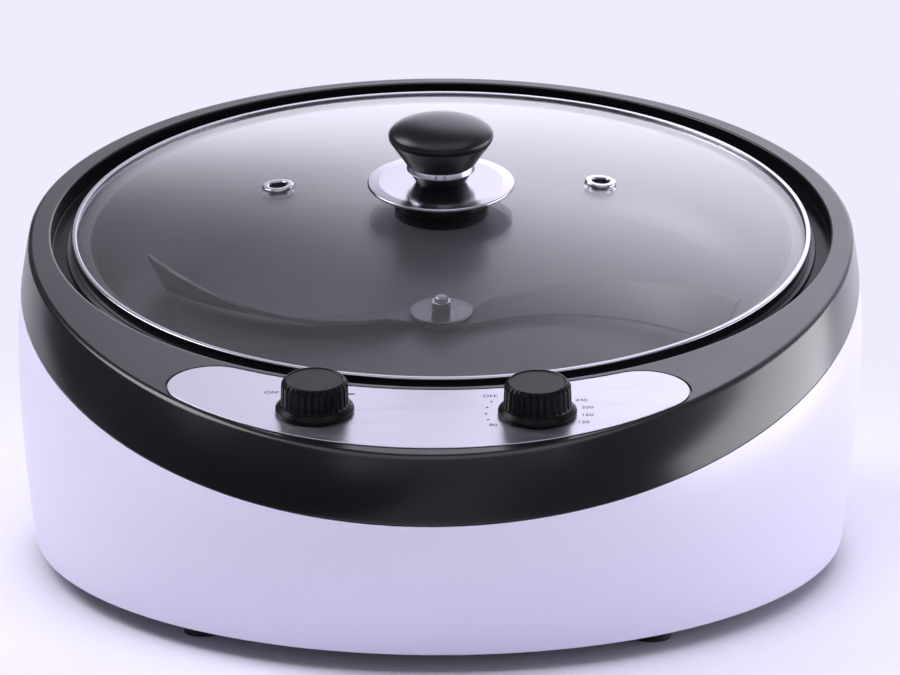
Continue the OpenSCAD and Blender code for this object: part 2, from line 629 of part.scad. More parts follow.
module motor_shaft() color("silver") on_motor(motor_top - motor_socket)
    cylinder(r = motor_shaft_r, h = gear_low + gear_w - motor_top + motor_socket);
// Outline of the gearbox, round both gears
module case_outline(grow) {
    circle(r = gear_tip_r + grow);
    translate([0, gear_distance]) circle(r = pinion_tip_r + grow);
    translate([-pinion_tip_r - grow, 0]) square([2 * (pinion_tip_r + grow), gear_distance]);
}
module gearbox_plate() color([0.6, 0.62, 0.65]) difference() {
    on_axis(plate_h - plate_t) linear_extrude(plate_t) {
        case_outline(5);
        for (a = hang_angles) rotate(a) {
            translate([hang_reach, 0]) circle(r = 7);
            translate([0, -7]) square([hang_reach, 14]);
        }
    }
    on_axis(plate_h - 10) cylinder(r = shaft_r + 4, h = 20);
    at_hangs(plate_h - 10) cylinder(r = hang_screw_r + fit, h = 20);
}
module gearbox_case() color([0.2, 0.2, 0.22]) difference() {
    on_axis(motor_top) linear_extrude(case_t + gear_space) case_outline(5);
    on_axis(case_floor_h) linear_extrude(gear_space + 1) case_outline(2);
    on_axis(motor_top - 1) cylinder(r = shaft_r + run, h = 20);
    on_motor(motor_top - 1) cylinder(r = motor_shaft_r + run, h = 20);
    at_motor_screws() cylinder(r = motor_screw_r, h = 20, center = true);
}
module gearbox_screws() color("silver") at_hangs(plate_h - plate_t) {
    translate([0, 0, -2.4]) cylinder(r = 3.4, h = 2.4);
    cylinder(r = hang_screw_r, h = plate_t + shield_t + 7);
}
module motor_can() color([0.65, 0.66, 0.68]) difference() {
    union() {
        on_motor(motor_top - motor_h) cylinder(r = motor_r, h = motor_h);
        on_motor(motor_top - 1.2) linear_extrude(1.2) for (side = [-1, 1]) {
            translate([side * motor_screw_x, -motor_screw_v]) circle(r = 5);
            translate([min(0, side * motor_screw_x), -motor_screw_v - 5]) square([motor_screw_x, 10]);
        }
    }
    on_motor(motor_top - motor_socket) cylinder(r = motor_shaft_r + run, h = 40);
    at_motor_screws() cylinder(r = motor_screw_r + fit, h = 20, center = true);
}
motor_screw_x = gear_tip_r - 2;
motor_screw_v = gear_distance - 10;
motor_screw_r = 1.5;
module at_motor_screws() for (side = [-1, 1]) on_motor(motor_top)
    translate([side * motor_screw_x, -motor_screw_v, 0]) children();
module motor_screws() color("silver") at_motor_screws() {
    translate([0, 0, -3.4]) cylinder(r = 3, h = 2.2);
    translate([0, 0, -2]) cylinder(r = motor_screw_r, h = 4.4);
}

// ---- Mains entry --------------------------------------------------------

gland_neck_r = gland_bore_r + 2.5;
gland_flange_r = gland_neck_r + 3.5;
gland_z = flange_z + flange_t + gland_flange_r + 6;
gland_wall = 5.4;
gland_head = 3.5;
gland_share = (gland_z + gland_flange_r - foot_h) / (face_z(axis_y + back_reach) - foot_h);
// Outer face of the gland's boss at the back, +Z outwards
module on_gland() translate([0, plan(90, gland_share)[1] + 0.4, gland_z]) rotate([-90, 0, 0]) children();
module mains_gland() color([0.1, 0.1, 0.11]) on_gland() difference() {
    union() {
        rotate_extrude() polygon([[0, 0], [gland_flange_r, 0], [gland_flange_r, gland_head - 1.5],
            [gland_neck_r + 1, gland_head], [0, gland_head]]);
        translate([0, 0, -gland_wall - 8]) cylinder(r = gland_neck_r, h = gland_wall + 8.5);
    }
    cylinder(r = gland_bore_r, h = 60, center = true);
}
module gland_nut() color([0.1, 0.1, 0.11]) on_gland() translate([0, 0, -gland_wall - 5]) difference() {
    cylinder(r = gland_flange_r, h = 5, $fn = 6);
    cylinder(r = gland_neck_r + 0.05, h = 40, center = true);
}
block_screw_x = 12;
block_screw_r = 1.6;
block_h = 12;
module on_block() translate([0, axis_y + back_reach - 62, flange_z]) children();
module terminal_block() color([0.9, 0.9, 0.85]) on_block() difference() {
    translate([-20, -9, 0]) cube([40, 18, block_h]);
    for (x = [-1, 1]) translate([x * block_screw_x, 0, 0]) cylinder(r = block_screw_r, h = 60, center = true);
    for (x = [-15, -6, 3]) translate([x + 1, -30, block_h - 5]) cube([6, 60, 10]);
}
module terminal_screws() color("silver") on_block() for (x = [-1, 1]) translate([x * block_screw_x, 0, 0]) {
    translate([0, 0, -base_t - 1.6]) cylinder(r = 3, h = 1.6);
    translate([0, 0, -base_t - 0.5]) cylinder(r = block_screw_r, h = base_t + 6);
}

// ---- Feet and screws ----------------------------------------------------

// Angles of the feet round the casing; the rear pair stands further in
foot_angles = [233.2, 306.8, 129, 51];
foot_places = [for (a = foot_angles) plan(a, 0, foot_inset + (a < 180 ? 8 : 0))];
foot_screw_r = 2;
module foot(k) color([0.08, 0.08, 0.09]) translate([each foot_places[k], 0]) difference() {
    rotate_extrude() polygon([[0, 0], [foot_r - 1.5, 0], [foot_r, foot_h], [0, foot_h]]);
    translate([0, 0, -1]) cylinder(r = 4.5, h = foot_h / 2 + 1);
    cylinder(r = foot_screw_r, h = 60, center = true);
}
module foot_front_left() foot(0);
module foot_front_right() foot(1);
module foot_rear_left() foot(2);
module foot_rear_right() foot(3);
module foot_screws() color("silver") for (p = foot_places) translate([each p, 0]) {
    translate([0, 0, foot_h / 2 - 2]) cylinder(r = 3.8, h = 2);
    translate([0, 0, foot_h / 2 - 1]) cylinder(r = foot_screw_r, h = foot_h / 2 + base_t + 5);
}
module base_screws() color("silver") for (a = post_angles) translate([each post_at(a), foot_h]) {
    translate([0, 0, -2]) cylinder(r = 3.6, h = 2);
    translate([0, 0, -1]) cylinder(r = base_screw_r, h = 20);
}

lower_shell();
top_cover();
base_plate();
control_panel();
timer_knob();
timer_shaft();
timer_body();
thermostat_knob();
thermostat_shaft();
thermostat_body();
lid_glass();
lid_rim();
lid_collar();
lid_washer();
lid_disc();
lid_knob();
lid_ferrule();
lid_screw();
vent_grommet_left();
vent_grommet_right();
roasting_pan();
shaft_bush();
drive_shaft();
stirrer_blade();
stirrer_disc();
stirrer_nut();
heating_element();
heater_clips();
thermal_cutout();
heat_shield();
hanging_posts();
gearbox_plate();
gearbox_case();
gearbox_screws();
drive_gear();
motor_pinion();
motor_shaft();
motor_can();
motor_screws();
terminal_block();
terminal_screws();
mains_gland();
gland_nut();
foot_front_left();
foot_front_right();
foot_rear_left();
foot_rear_right();
foot_screws();
base_screws();
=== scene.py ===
# %% [markdown]
# # A home coffee bean roaster
# The roaster is a wedge-shaped casing with a round pan that leans towards the user. A glass
# lid lies in a recess over the pan, a blade driven from below stirs the beans, and two dials
# stand on a steel panel at the front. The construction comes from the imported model, loaded
# here as a fixed frame. This script models each piece that shows again with finer shapes and
# gives every surface its finish.

# %% Load the frame
import json
import math

import bmesh
import bpy
from mathutils import Matrix, Vector


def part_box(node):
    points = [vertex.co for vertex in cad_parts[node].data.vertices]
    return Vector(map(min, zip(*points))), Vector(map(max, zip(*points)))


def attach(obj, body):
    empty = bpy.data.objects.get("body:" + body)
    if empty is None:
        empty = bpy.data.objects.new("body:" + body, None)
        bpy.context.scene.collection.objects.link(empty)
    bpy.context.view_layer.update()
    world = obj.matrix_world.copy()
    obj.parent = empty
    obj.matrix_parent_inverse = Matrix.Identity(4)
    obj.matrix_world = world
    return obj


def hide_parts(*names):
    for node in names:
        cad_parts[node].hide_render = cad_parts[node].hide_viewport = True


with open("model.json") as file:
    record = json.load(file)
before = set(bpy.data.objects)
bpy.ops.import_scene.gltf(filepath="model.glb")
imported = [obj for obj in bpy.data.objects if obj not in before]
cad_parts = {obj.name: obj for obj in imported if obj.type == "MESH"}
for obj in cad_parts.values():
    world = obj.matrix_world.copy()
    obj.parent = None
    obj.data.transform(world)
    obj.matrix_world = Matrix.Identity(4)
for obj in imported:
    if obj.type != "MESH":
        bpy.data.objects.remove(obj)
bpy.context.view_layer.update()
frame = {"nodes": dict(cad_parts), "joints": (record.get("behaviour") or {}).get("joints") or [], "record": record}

# %% [markdown]
# ## The tilted frame
# Lid, pan, stirrer and dials all share one direction: the slope of the cover's face. The
# lid's joint gives that direction, and the stirrer's joint gives a point on the axis, on the
# pan's floor. From these two comes one matrix. A piece is modelled upright round the Z axis,
# with height 0 at the lid's seat, and the matrix then leans it into place.

# %% Axis, tilt and seat
MM = 0.001
FLOOR_H = -43.5 * MM   # the pan's floor, from the lid's seat
joints = {joint["name"]: joint for joint in frame["joints"]}
axis = Vector(joints["lid_lift"]["axis"]).normalized()
TILT = math.atan2(-axis.y, axis.z)
SEAT = Vector(joints["stirrer_spin"]["pos_m"]) - axis * FLOOR_H
AXIS_FRAME = Matrix.Translation(SEAT) @ Matrix.Rotation(TILT, 4, "X")
print("tilt %.2f degrees, seat at" % math.degrees(TILT), [round(c, 4) for c in SEAT])

# %% [markdown]
# ## Working in edit mode without a window
# Every operator acts on what is selected, and loading the frame leaves its nodes selected. So
# each new piece starts from a clean selection. These short helpers hold the steps that every
# piece repeats: starting, picking rings of vertices, finishing and shading. Shading ends with
# normals weighted by area, so that a flat face stays flat beside its rounded edge.

# %% Selection and finishing helpers
def start_clean():
    if bpy.context.object and bpy.context.object.mode != "OBJECT":
        bpy.ops.object.mode_set(mode="OBJECT")
    bpy.ops.object.select_all(action="DESELECT")


def select_only(piece):
    start_clean()
    piece.select_set(True)
    bpy.context.view_layer.objects.active = piece


def pick_vertices(piece, wanted):
    """In edit mode, selects the vertices whose numbers are in `wanted`."""
    bpy.ops.mesh.select_all(action="DESELECT")
    bpy.ops.mesh.select_mode(type="VERT")
    shape = bmesh.from_edit_mesh(piece.data)
    shape.verts.ensure_lookup_table()
    for number in wanted:
        shape.verts[number].select = True
    shape.select_flush(True)
    bmesh.update_edit_mesh(piece.data)


def apply_all(piece):
    """Applies the piece's modifiers and its place, so that its object sits at the origin."""
    select_only(piece)
    for modifier in list(piece.modifiers):
        bpy.ops.object.modifier_apply(modifier=modifier.name)
    bpy.ops.object.transform_apply(location=True, rotation=True, scale=True)


def lean(piece):
    """Leans an upright piece into the tilted frame."""
    bpy.context.view_layer.update()
    piece.matrix_world = AXIS_FRAME @ piece.matrix_world
    apply_all(piece)
    return piece


def shade(piece, angle):
    """Smooth shading, with an edge wherever two faces meet at more than the angle."""
    select_only(piece)
    bpy.ops.object.shade_smooth()
    bpy.ops.object.shade_smooth_by_angle(angle=math.radians(angle))
    modifier = piece.modifiers.new("even shading", "WEIGHTED_NORMAL")
    modifier.keep_sharp = True
    bpy.ops.object.modifier_apply(modifier=modifier.name)


def bevel(piece, width, segments=3, angle=40):
    modifier = piece.modifiers.new("edge", "BEVEL")
    modifier.width = width
    modifier.segments = segments
    modifier.limit_method = "ANGLE"
    modifier.angle_limit = math.radians(angle)
    modifier.use_clamp_overlap = True


# %% [markdown]
# ## Turned and lofted shapes
# Most pieces are round, as if turned on a lathe, and the casing is a loft: ring after ring of
# the same number of points. Both come from one helper. It adds a circle, extrudes it upwards
# once for each ring, and then moves each vertex to its place, which a small function gives
# from the ring's number and the angle. Ends are closed with a fan to a centre point, and a
# closed section, such as that of a hoop, is joined from its last ring to its first.

# %% The ring builder
def ring_shape(name, rings, steps, place, close_start=False, close_end=False, hoop=False):
    """Rings of points, placed by place(ring, angle), with faces between them."""
    start_clean()
    bpy.ops.mesh.primitive_circle_add(vertices=steps, radius=1, fill_type="NOTHING")
    piece = bpy.context.object
    piece.name = piece.data.name = name
    bpy.ops.object.mode_set(mode="EDIT")
    bpy.ops.mesh.select_all(action="SELECT")
    for _ in range(rings - 1):
        bpy.ops.mesh.extrude_region_move(TRANSFORM_OT_translate={"value": (0, 0, 1)})
    bpy.ops.object.mode_set(mode="OBJECT")
    ends = [[], []]
    for vertex in piece.data.vertices:
        ring = round(vertex.co.z)
        angle = math.atan2(vertex.co.y, vertex.co.x)
        vertex.co = place(ring, angle)
        if ring == 0:
            ends[0].append(vertex.index)
        elif ring == rings - 1:
            ends[1].append(vertex.index)
    bpy.ops.object.mode_set(mode="EDIT")
    if hoop:
        pick_vertices(piece, ends[0] + ends[1])
        bpy.ops.mesh.bridge_edge_loops()
    for closing, end in ((close_start, ends[0]), (close_end, ends[1])):
        if closing:
            pick_vertices(piece, end)
            bpy.ops.mesh.extrude_region_move()
            bpy.ops.mesh.merge(type="CENTER")
    bpy.ops.mesh.select_all(action="SELECT")
    bpy.ops.mesh.normals_make_consistent(inside=False)
    bpy.ops.object.mode_set(mode="OBJECT")
    return piece


def rounded(corners, steps=4):
    """Points of a profile. A corner given as (x, y, radius) becomes an arc."""
    points = []
    for number, corner in enumerate(corners):
        here = Vector(corner[:2])
        radius = corner[2] if len(corner) > 2 else 0
        if not radius:
            points.append(here)
            continue
        before = (Vector(corners[number - 1][:2]) - here).normalized()
        after = (Vector(corners[(number + 1) % len(corners)][:2]) - here).normalized()
        half = before.angle(after) / 2
        reach = radius / math.tan(half)
        centre = here + (before + after).normalized() * radius / math.sin(half)
        first = here + before * reach - centre
        last = here + after * reach - centre
        sweep = first.angle_signed(last)
        for step in range(steps + 1):
            turned_by = Matrix.Rotation(-sweep * step / steps, 2)
            points.append(centre + turned_by @ first)
    return points


def turned(name, corners, steps=96, arc=4, start=False, end=False, hoop=False):
    """A piece turned round Z from profile corners in mm, each (radius, height, rounding)."""
    points = [point * MM for point in rounded(corners, arc)]

    def place(ring, angle):
        radius, height = points[ring]
        return Vector((radius * math.cos(angle), radius * math.sin(angle), height))

    return ring_shape(name, len(points), steps, place, start, end, hoop)


def pierced_disc(name, hole, radius, low, high, under, over):
    """A turned disc with a hole, and roundings under and over its edge."""
    corners = [(hole, low), (radius, low, under), (radius, high, over), (hole, high)]
    return turned(name, corners, hoop=True)


# %% [markdown]
# ## Shared effects
# Three effects come back in the finishes: a very fine unevenness of the surface, the faint
# clouding that handling and moulding leave in the gloss, and the straight hairlines of brushed
# metal. Each is a node group that puts out only values that change over the surface, and each
# finish sets its own scale and depth.

# %% Node groups
def new_group(name, inputs, outputs):
    """An empty group with these inputs and outputs, and its two end nodes."""
    group = bpy.data.node_groups.new(name, "ShaderNodeTree")
    for label, value in inputs.items():
        socket = group.interface.new_socket(label, in_out="INPUT", socket_type="NodeSocketFloat")
        socket.default_value = value
    for label in outputs:
        group.interface.new_socket(label, in_out="OUTPUT", socket_type="NodeSocketFloat")
    given = group.nodes.new("NodeGroupInput")
    result = group.nodes.new("NodeGroupOutput")
    return group, given, result


def set_range(node, start, stop):
    node.inputs["From Min"].default_value = start
    node.inputs["From Max"].default_value = stop


def low_to_high(group, given, source, start, stop):
    """Goes from the input Low to the input High as the source goes from start to stop."""
    spread = group.nodes.new("ShaderNodeMapRange")
    set_range(spread, start, stop)
    group.links.new(source, spread.inputs["Value"])
    group.links.new(given.outputs["Low"], spread.inputs["To Min"])
    group.links.new(given.outputs["High"], spread.inputs["To Max"])
    return spread


def make_grain_group():
    """Fine unevenness: a height for a bump, from noise of a given scale."""
    group, given, result = new_group("fine grain", {"Scale": 900, "Detail": 3}, ["Height"])
    place = group.nodes.new("ShaderNodeTexCoord")
    noise = group.nodes.new("ShaderNodeTexNoise")
    group.links.new(place.outputs["Object"], noise.inputs["Vector"])
    group.links.new(given.outputs["Scale"], noise.inputs["Scale"])
    group.links.new(given.outputs["Detail"], noise.inputs["Detail"])
    group.links.new(noise.outputs["Fac"], result.inputs["Height"])
    return group


def make_cloud_group():
    """Clouding of the gloss: a value that drifts between Low and High over the surface."""
    inputs = {"Scale": 18, "Low": 0.2, "High": 0.3}
    group, given, result = new_group("gloss clouding", inputs, ["Value"])
    place = group.nodes.new("ShaderNodeTexCoord")
    noise = group.nodes.new("ShaderNodeTexNoise")
    noise.inputs["Detail"].default_value = 1
    spread = low_to_high(group, given, noise.outputs["Fac"], 0.1, 0.9)
    spread.interpolation_type = "SMOOTHSTEP"
    group.links.new(place.outputs["Object"], noise.inputs["Vector"])
    group.links.new(given.outputs["Scale"], noise.inputs["Scale"])
    group.links.new(spread.outputs["Result"], result.inputs["Value"])
    return group


def make_brush_group():
    """Hairlines along X: noise stretched far more along X than along Y and Z."""
    inputs = {"Fineness": 2600, "Low": 0.25, "High": 0.4}
    group, given, result = new_group("hairlines", inputs, ["Value", "Height"])
    place = group.nodes.new("ShaderNodeTexCoord")
    stretch = group.nodes.new("ShaderNodeVectorMath")
    stretch.operation = "MULTIPLY"
    stretch.inputs[1].default_value = (0.012, 1, 1)
    noise = group.nodes.new("ShaderNodeTexNoise")
    noise.inputs["Detail"].default_value = 2
    spread = low_to_high(group, given, noise.outputs["Fac"], 0.3, 0.7)
    group.links.new(place.outputs["Object"], stretch.inputs[0])
    group.links.new(stretch.outputs["Vector"], noise.inputs["Vector"])
    group.links.new(given.outputs["Fineness"], noise.inputs["Scale"])
    group.links.new(spread.outputs["Result"], result.inputs["Value"])
    group.links.new(noise.outputs["Fac"], result.inputs["Height"])
    return group


grain_group = make_grain_group()
cloud_group = make_cloud_group()
brush_group = make_brush_group()
print("node groups:", len(bpy.data.node_groups))


# %% [markdown]
# ## Building a finish
# Every finish is a Principled shader whose roughness drifts a little over the surface. Most
# have a slight bump as well. The white moulding, the polished steel and the pan's coating are
# smooth and have none. A number that stays the same all over is set on the shader's own socket.

# %% Material builders
def new_material(name):
    material = bpy.data.materials.new(name)
    material.use_nodes = True
    return material, material.node_tree, material.node_tree.nodes["Principled BSDF"]


def add_group(tree, group, **values):
    node = tree.nodes.new("ShaderNodeGroup")
    node.node_tree = group
    for label, value in values.items():
        node.inputs[label].default_value = value
    return node


def add_relief(tree, shader, height, strength, depth):
    relief = tree.nodes.new("ShaderNodeBump")
    relief.inputs["Strength"].default_value = strength
    relief.inputs["Distance"].default_value = depth
    tree.links.new(height, relief.inputs["Height"])
    tree.links.new(relief.outputs["Normal"], shader.inputs["Normal"])


def finish(name, colour, rough, metallic=0.0, grain=900, bump=0.02, cloud=18, gloss=0.5):
    """A plain finish: clouding between two roughnesses and, where bump isn't 0, a fine grain."""
    material, tree, shader = new_material(name)
    shader.inputs["Base Color"].default_value = (*colour, 1)
    shader.inputs["Metallic"].default_value = metallic
    shader.inputs["Specular IOR Level"].default_value = gloss
    clouding = add_group(tree, cloud_group, Scale=cloud, Low=rough[0], High=rough[1])
    tree.links.new(clouding.outputs["Value"], shader.inputs["Roughness"])
    if bump > 0:
        texture = add_group(tree, grain_group, Scale=grain)
        add_relief(tree, shader, texture.outputs["Height"], bump, 0.2 * MM)
    return material


def brushed(name, colour, rough):
    """Brushed metal: hairlines in the roughness and in the relief."""
    material, tree, shader = new_material(name)
    shader.inputs["Base Color"].default_value = (*colour, 1)
    shader.inputs["Metallic"].default_value = 1
    lines = add_group(tree, brush_group, Low=rough[0], High=rough[1])
    tree.links.new(lines.outputs["Value"], shader.inputs["Roughness"])
    add_relief(tree, shader, lines.outputs["Height"], 0.05, 0.1 * MM)
    return material


# %% [markdown]
# ## Glass
# Real light reaches the pan through the lid. A path tracer finds that light only by chance
# when it has to pass a refracting surface, so for shadow rays the glass is clear and only a
# little grey. To every other ray it is a thin, slightly grey body with a soft coat over it. The
# coat gives the broad veil of light that lies over the lid, and the body keeps the pan
# readable below.

# %% The lid's glass
def make_glass():
    material, tree, shader = new_material("lid glass")
    shader.inputs["Base Color"].default_value = (0.90, 0.90, 0.93, 1)
    shader.inputs["Transmission Weight"].default_value = 1
    shader.inputs["IOR"].default_value = 1.18
    shader.inputs["Coat Weight"].default_value = 1
    shader.inputs["Coat IOR"].default_value = 1.5
    shader.inputs["Coat Roughness"].default_value = 0.34
    smudge = add_group(tree, cloud_group, Scale=9, Low=0.01, High=0.04)
    tree.links.new(smudge.outputs["Value"], shader.inputs["Roughness"])
    clear = tree.nodes.new("ShaderNodeBsdfTransparent")
    clear.inputs["Color"].default_value = (0.84, 0.85, 0.87, 1)
    rays = tree.nodes.new("ShaderNodeLightPath")
    choice = tree.nodes.new("ShaderNodeMixShader")
    output = tree.nodes["Material Output"]
    tree.links.new(rays.outputs["Is Shadow Ray"], choice.inputs["Fac"])
    tree.links.new(shader.outputs["BSDF"], choice.inputs[1])
    tree.links.new(clear.outputs["BSDF"], choice.inputs[2])
    tree.links.new(choice.outputs["Shader"], output.inputs["Surface"])
    return material


# %% [markdown]
# ## The finishes of the roaster
# One finish for each slot of the construction: colour, the two ends of the roughness and what
# else differs. The construction's own pieces take theirs at once, so that anything seen
# through a slot or from below has its finish too. Two finishes more are for single faces: the
# cover's recess, which mirrors almost nothing as painted shade for the shade deep in the
# recess, and the disc that clamps the blade, which shines less than the other bright steel.

# %% All the finishes
finishes = {
    "white_shell": finish("white shell", (0.82, 0.80, 0.95), (0.30, 0.36), bump=0, cloud=8),
    "dark_cover": finish("dark cover", (0.008, 0.007, 0.009), (0.20, 0.28), grain=1400),
    "panel_steel": brushed("panel steel", (0.70, 0.69, 0.78), (0.28, 0.4)),
    "dial_black": finish(
        "dial black", (0.003, 0.003, 0.004), (0.24, 0.32), bump=0.04, grain=2200, gloss=0.12),
    "bright_steel": finish("bright steel", (0.50, 0.49, 0.54), (0.15, 0.23), metallic=1, bump=0),
    "plain_steel": brushed("plain steel", (0.52, 0.53, 0.55), (0.3, 0.45)),
    "glass": make_glass(),
    "black_plastic": finish(
        "black plastic", (0.010, 0.008, 0.011), (0.24, 0.32), bump=0.03, grain=1500, gloss=0.3),
    "pan_coating": finish("pan coating", (0.030, 0.028, 0.033), (0.34, 0.46), bump=0),
    "brass": finish("brass", (0.6, 0.42, 0.16), (0.25, 0.35), metallic=1),
    "heater_sheath": finish("heater sheath", (0.12, 0.1, 0.09), (0.4, 0.6), metallic=1, cloud=60),
    "ceramic": finish("ceramic", (0.7, 0.66, 0.56), (0.45, 0.6), bump=0.1),
    "shield_aluminium": brushed("shield aluminium", (0.6, 0.61, 0.63), (0.25, 0.4)),
    "gear_nylon": finish("gear nylon", (0.75, 0.72, 0.62), (0.4, 0.5), bump=0.05),
    "rubber": finish("rubber", (0.02, 0.02, 0.022), (0.6, 0.75), bump=0.2, grain=1800),
}
# painted shade: the recess keeps the cover's colour but mirrors almost nothing, standing in for the shade deep in
# the recess
recess_painted_shade = finish("recess painted shade", (0.008, 0.007, 0.009), (0.20, 0.28), grain=1400, gloss=0.06)
dulled_steel = finish("dulled steel", (0.19, 0.18, 0.20), (0.24, 0.34), metallic=1, bump=0)

slot_of = {part["node"]: part["material_slot"] for part in frame["record"]["subparts"]}
for node_name, node in frame["nodes"].items():
    for place_in_list in node.material_slots:
        place_in_list.material = finishes[slot_of[node_name]]
print("finishes:", len(finishes))


def settle(piece, slot, body, *nodes, angle=35):
    """Gives a finished piece its finish, its body and the nodes that it stands for."""
    piece.data.materials.clear()
    piece.data.materials.append(finishes[slot])
    shade(piece, angle)
    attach(piece, body)
    if nodes:
        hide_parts(*nodes)
    print(piece.name, len(piece.data.polygons), "faces on", body)


# %% [markdown]
# ## The casing
# Shell and cover are two mouldings of one outline: an egg shape, round behind and drawn out
# to the front, that bulges a little between floor and top. The outline at any height comes
# from a short formula. A blank of the whole outside is lofted from it, continued over the top
# face and down into the recess. The shell and the cover are then cut from copies of that
# blank along the slanting line where the two mouldings meet.

# %% Outline of the casing
SIDE = 184 * MM        # half the width
FRONT = 243 * MM       # from the seat's centre to the front
BACK = 177 * MM        # and to the back
LOWER_DRAW = 7 * MM    # how much the outline draws in at the floor
UPPER_DRAW = 4.5 * MM  # at the top
NOSE_DRAW = 10.8 * MM  # and at the top of the front
BELLY = 0.7            # share of the height at which it is widest
NOSE = 0.11            # how much the front narrows towards the top
FOOT_H = 8 * MM
FACE_H = 3.5 * MM
HEIGHT = 130.6 * MM    # of the seat above the feet's tops


def drawn(share, low, belly, high):
    """A half width at a share of the height: it swells from low to belly, then falls to high."""
    if share < BELLY:
        return low + (belly - low) * math.sin(math.pi / 2 * share / BELLY)
    return high + (belly - high) * math.cos(math.pi / 2 * (share - BELLY) / (1 - BELLY))


def outline(angle, share, inset=0.0):
    """Point of the casing's plan at an angle, at a share of its height."""
    wide = drawn(share, SIDE - LOWER_DRAW, SIDE, SIDE - UPPER_DRAW) - inset
    sine = math.sin(angle)
    if sine > 0:
        deep = drawn(share, BACK - LOWER_DRAW, BACK, BACK - UPPER_DRAW) - inset
        taper = 1
    else:
        deep = drawn(share, FRONT - 2 * LOWER_DRAW, FRONT, FRONT - NOSE_DRAW) - inset
        taper = 1 - NOSE * share**3 * sine**2
    return wide * taper * math.cos(angle), SEAT.y + deep * sine


def face_z(y):
    """Height of the cover's face above the floor."""
    return SEAT.z + FACE_H / math.cos(TILT) + (y - SEAT.y) * math.tan(TILT)


def skin(angle, share, inset=0.0):
    """Point of the casing's outside at an angle and a share of the height."""
    x, y = outline(angle, share, inset)
    return Vector((x, y, FOOT_H + share * (face_z(y) - FOOT_H)))


# %% [markdown]
# The blank's rings run up the outside, over a rounded edge, across the top face, round the
# small rounding at the recess, down its wall, in along the ledge and down its edge. Rings of
# the recess are true circles in the tilted frame. Each of their points takes the direction of
# the outline's point at the same angle, so that the faces between them run straight inwards.
# A holding ring close to each rounding keeps the light on the faces beside it even.

# %% The blank
WALL_STEPS = 22
ARC_STEPS = 5
ROUND_STEPS = 192
FOOT_ROUND = 1.5 * MM
TOP_ROUND = 1.6 * MM
RECESS_ROUND = 0.9 * MM
HOLD = 0.5 * MM                                    # from a rounding to its holding ring
RECESS_R = 170 * MM                                # the recess that the lid lies in
OPENING_R = 156.3 * MM                             # the opening for the pan
LEDGE_H = -4.2 * MM
LEDGE_CORNER = ((0, 1), (-0.3, 0.3), (-1, 0))      # from the recess's wall on to the ledge
OPENING_EDGE = ((0.4, 0), (0, -0.4), (0, -2.4))    # from the ledge down the opening


def outside_ring(share, inset=0.0):
    """A ring of the casing's outside, as a function that gives its point at an angle."""
    return lambda angle: skin(angle, share, inset)


def recess_ring(radius, height):
    """A true circle in the tilted frame, as a function that gives its point at an angle."""
    def place(angle):
        point = AXIS_FRAME.inverted() @ skin(angle, 1)
        turn = math.atan2(point.y, point.x)
        return AXIS_FRAME @ Vector((radius * math.cos(turn), radius * math.sin(turn), height))

    return place


def quarter_turns():
    """The angles of a rounding's points, from 0 to a right angle."""
    return [math.pi / 2 * step / ARC_STEPS for step in range(ARC_STEPS + 1)]


low_share = FOOT_ROUND / HEIGHT
high_share = 1 - TOP_ROUND / HEIGHT
blank_rings = []
for turn in quarter_turns():
    share = low_share * (1 - math.cos(turn))
    blank_rings.append(outside_ring(share, FOOT_ROUND * (1 - math.sin(turn))))
for step in range(1, WALL_STEPS + 1):
    blank_rings.append(outside_ring(low_share + (high_share - low_share) * step / WALL_STEPS))
blank_rings.insert(-1, outside_ring(high_share - HOLD / HEIGHT))
for turn in quarter_turns()[1:]:
    share = 1 - TOP_ROUND * (1 - math.sin(turn)) / HEIGHT
    blank_rings.append(outside_ring(share, TOP_ROUND * (1 - math.cos(turn))))
blank_rings.append(outside_ring(1, TOP_ROUND + HOLD))
blank_rings.append(recess_ring(RECESS_R + RECESS_ROUND + HOLD, FACE_H))
for turn in quarter_turns():
    radius = RECESS_R + RECESS_ROUND * (1 - math.sin(turn))
    blank_rings.append(recess_ring(radius, FACE_H - RECESS_ROUND * (1 - math.cos(turn))))
for edge_r, corner in ((RECESS_R, LEDGE_CORNER), (OPENING_R, OPENING_EDGE)):
    for outward, up in corner:
        blank_rings.append(recess_ring(edge_r + outward * MM, LEDGE_H + up * MM))


def blank_point(ring, angle):
    return blank_rings[ring](angle)


blank = ring_shape("casing_blank", len(blank_rings), ROUND_STEPS, blank_point)
print("blank:", len(blank.data.polygons), "faces")

# %% [markdown]
# ## Cutting along the seam
# The two mouldings meet in one plane, which slopes a little more than the face: the cover is
# a deep band at the front and a narrow one at the back. Each moulding is a copy of the blank,
# cut along that plane. A gap of half a millimetre between the two shows as the joint line.

# %% Cut and thicken the mouldings
SEAM_SLOPE = math.radians(13.6)
SEAM_DROP = 15.5 * MM
SEAM_GAP = 0.5 * MM
SHELL_T = 2.6 * MM
COVER_T = 2.2 * MM


def cut_along_seam(name, keep_above, shift):
    """A copy of the blank, cut at the seam's plane shifted up by this much."""
    select_only(blank)
    bpy.ops.object.duplicate()
    piece = bpy.context.object
    piece.name = piece.data.name = name
    point = Vector((0, SEAT.y, SEAT.z - SEAM_DROP + shift))
    normal = Vector((0, -math.sin(SEAM_SLOPE), math.cos(SEAM_SLOPE)))
    bpy.ops.object.mode_set(mode="EDIT")
    bpy.ops.mesh.select_all(action="SELECT")
    bpy.ops.mesh.bisect(
        plane_co=point, plane_no=normal, clear_inner=keep_above, clear_outer=not keep_above)
    bpy.ops.mesh.select_all(action="SELECT")
    bpy.ops.mesh.remove_doubles(threshold=0.02 * MM)
    bpy.ops.object.mode_set(mode="OBJECT")
    return piece


def thicken(piece, thickness):
    modifier = piece.modifiers.new("wall", "SOLIDIFY")
    modifier.thickness = thickness
    modifier.offset = -1
    modifier.use_quality_normals = True


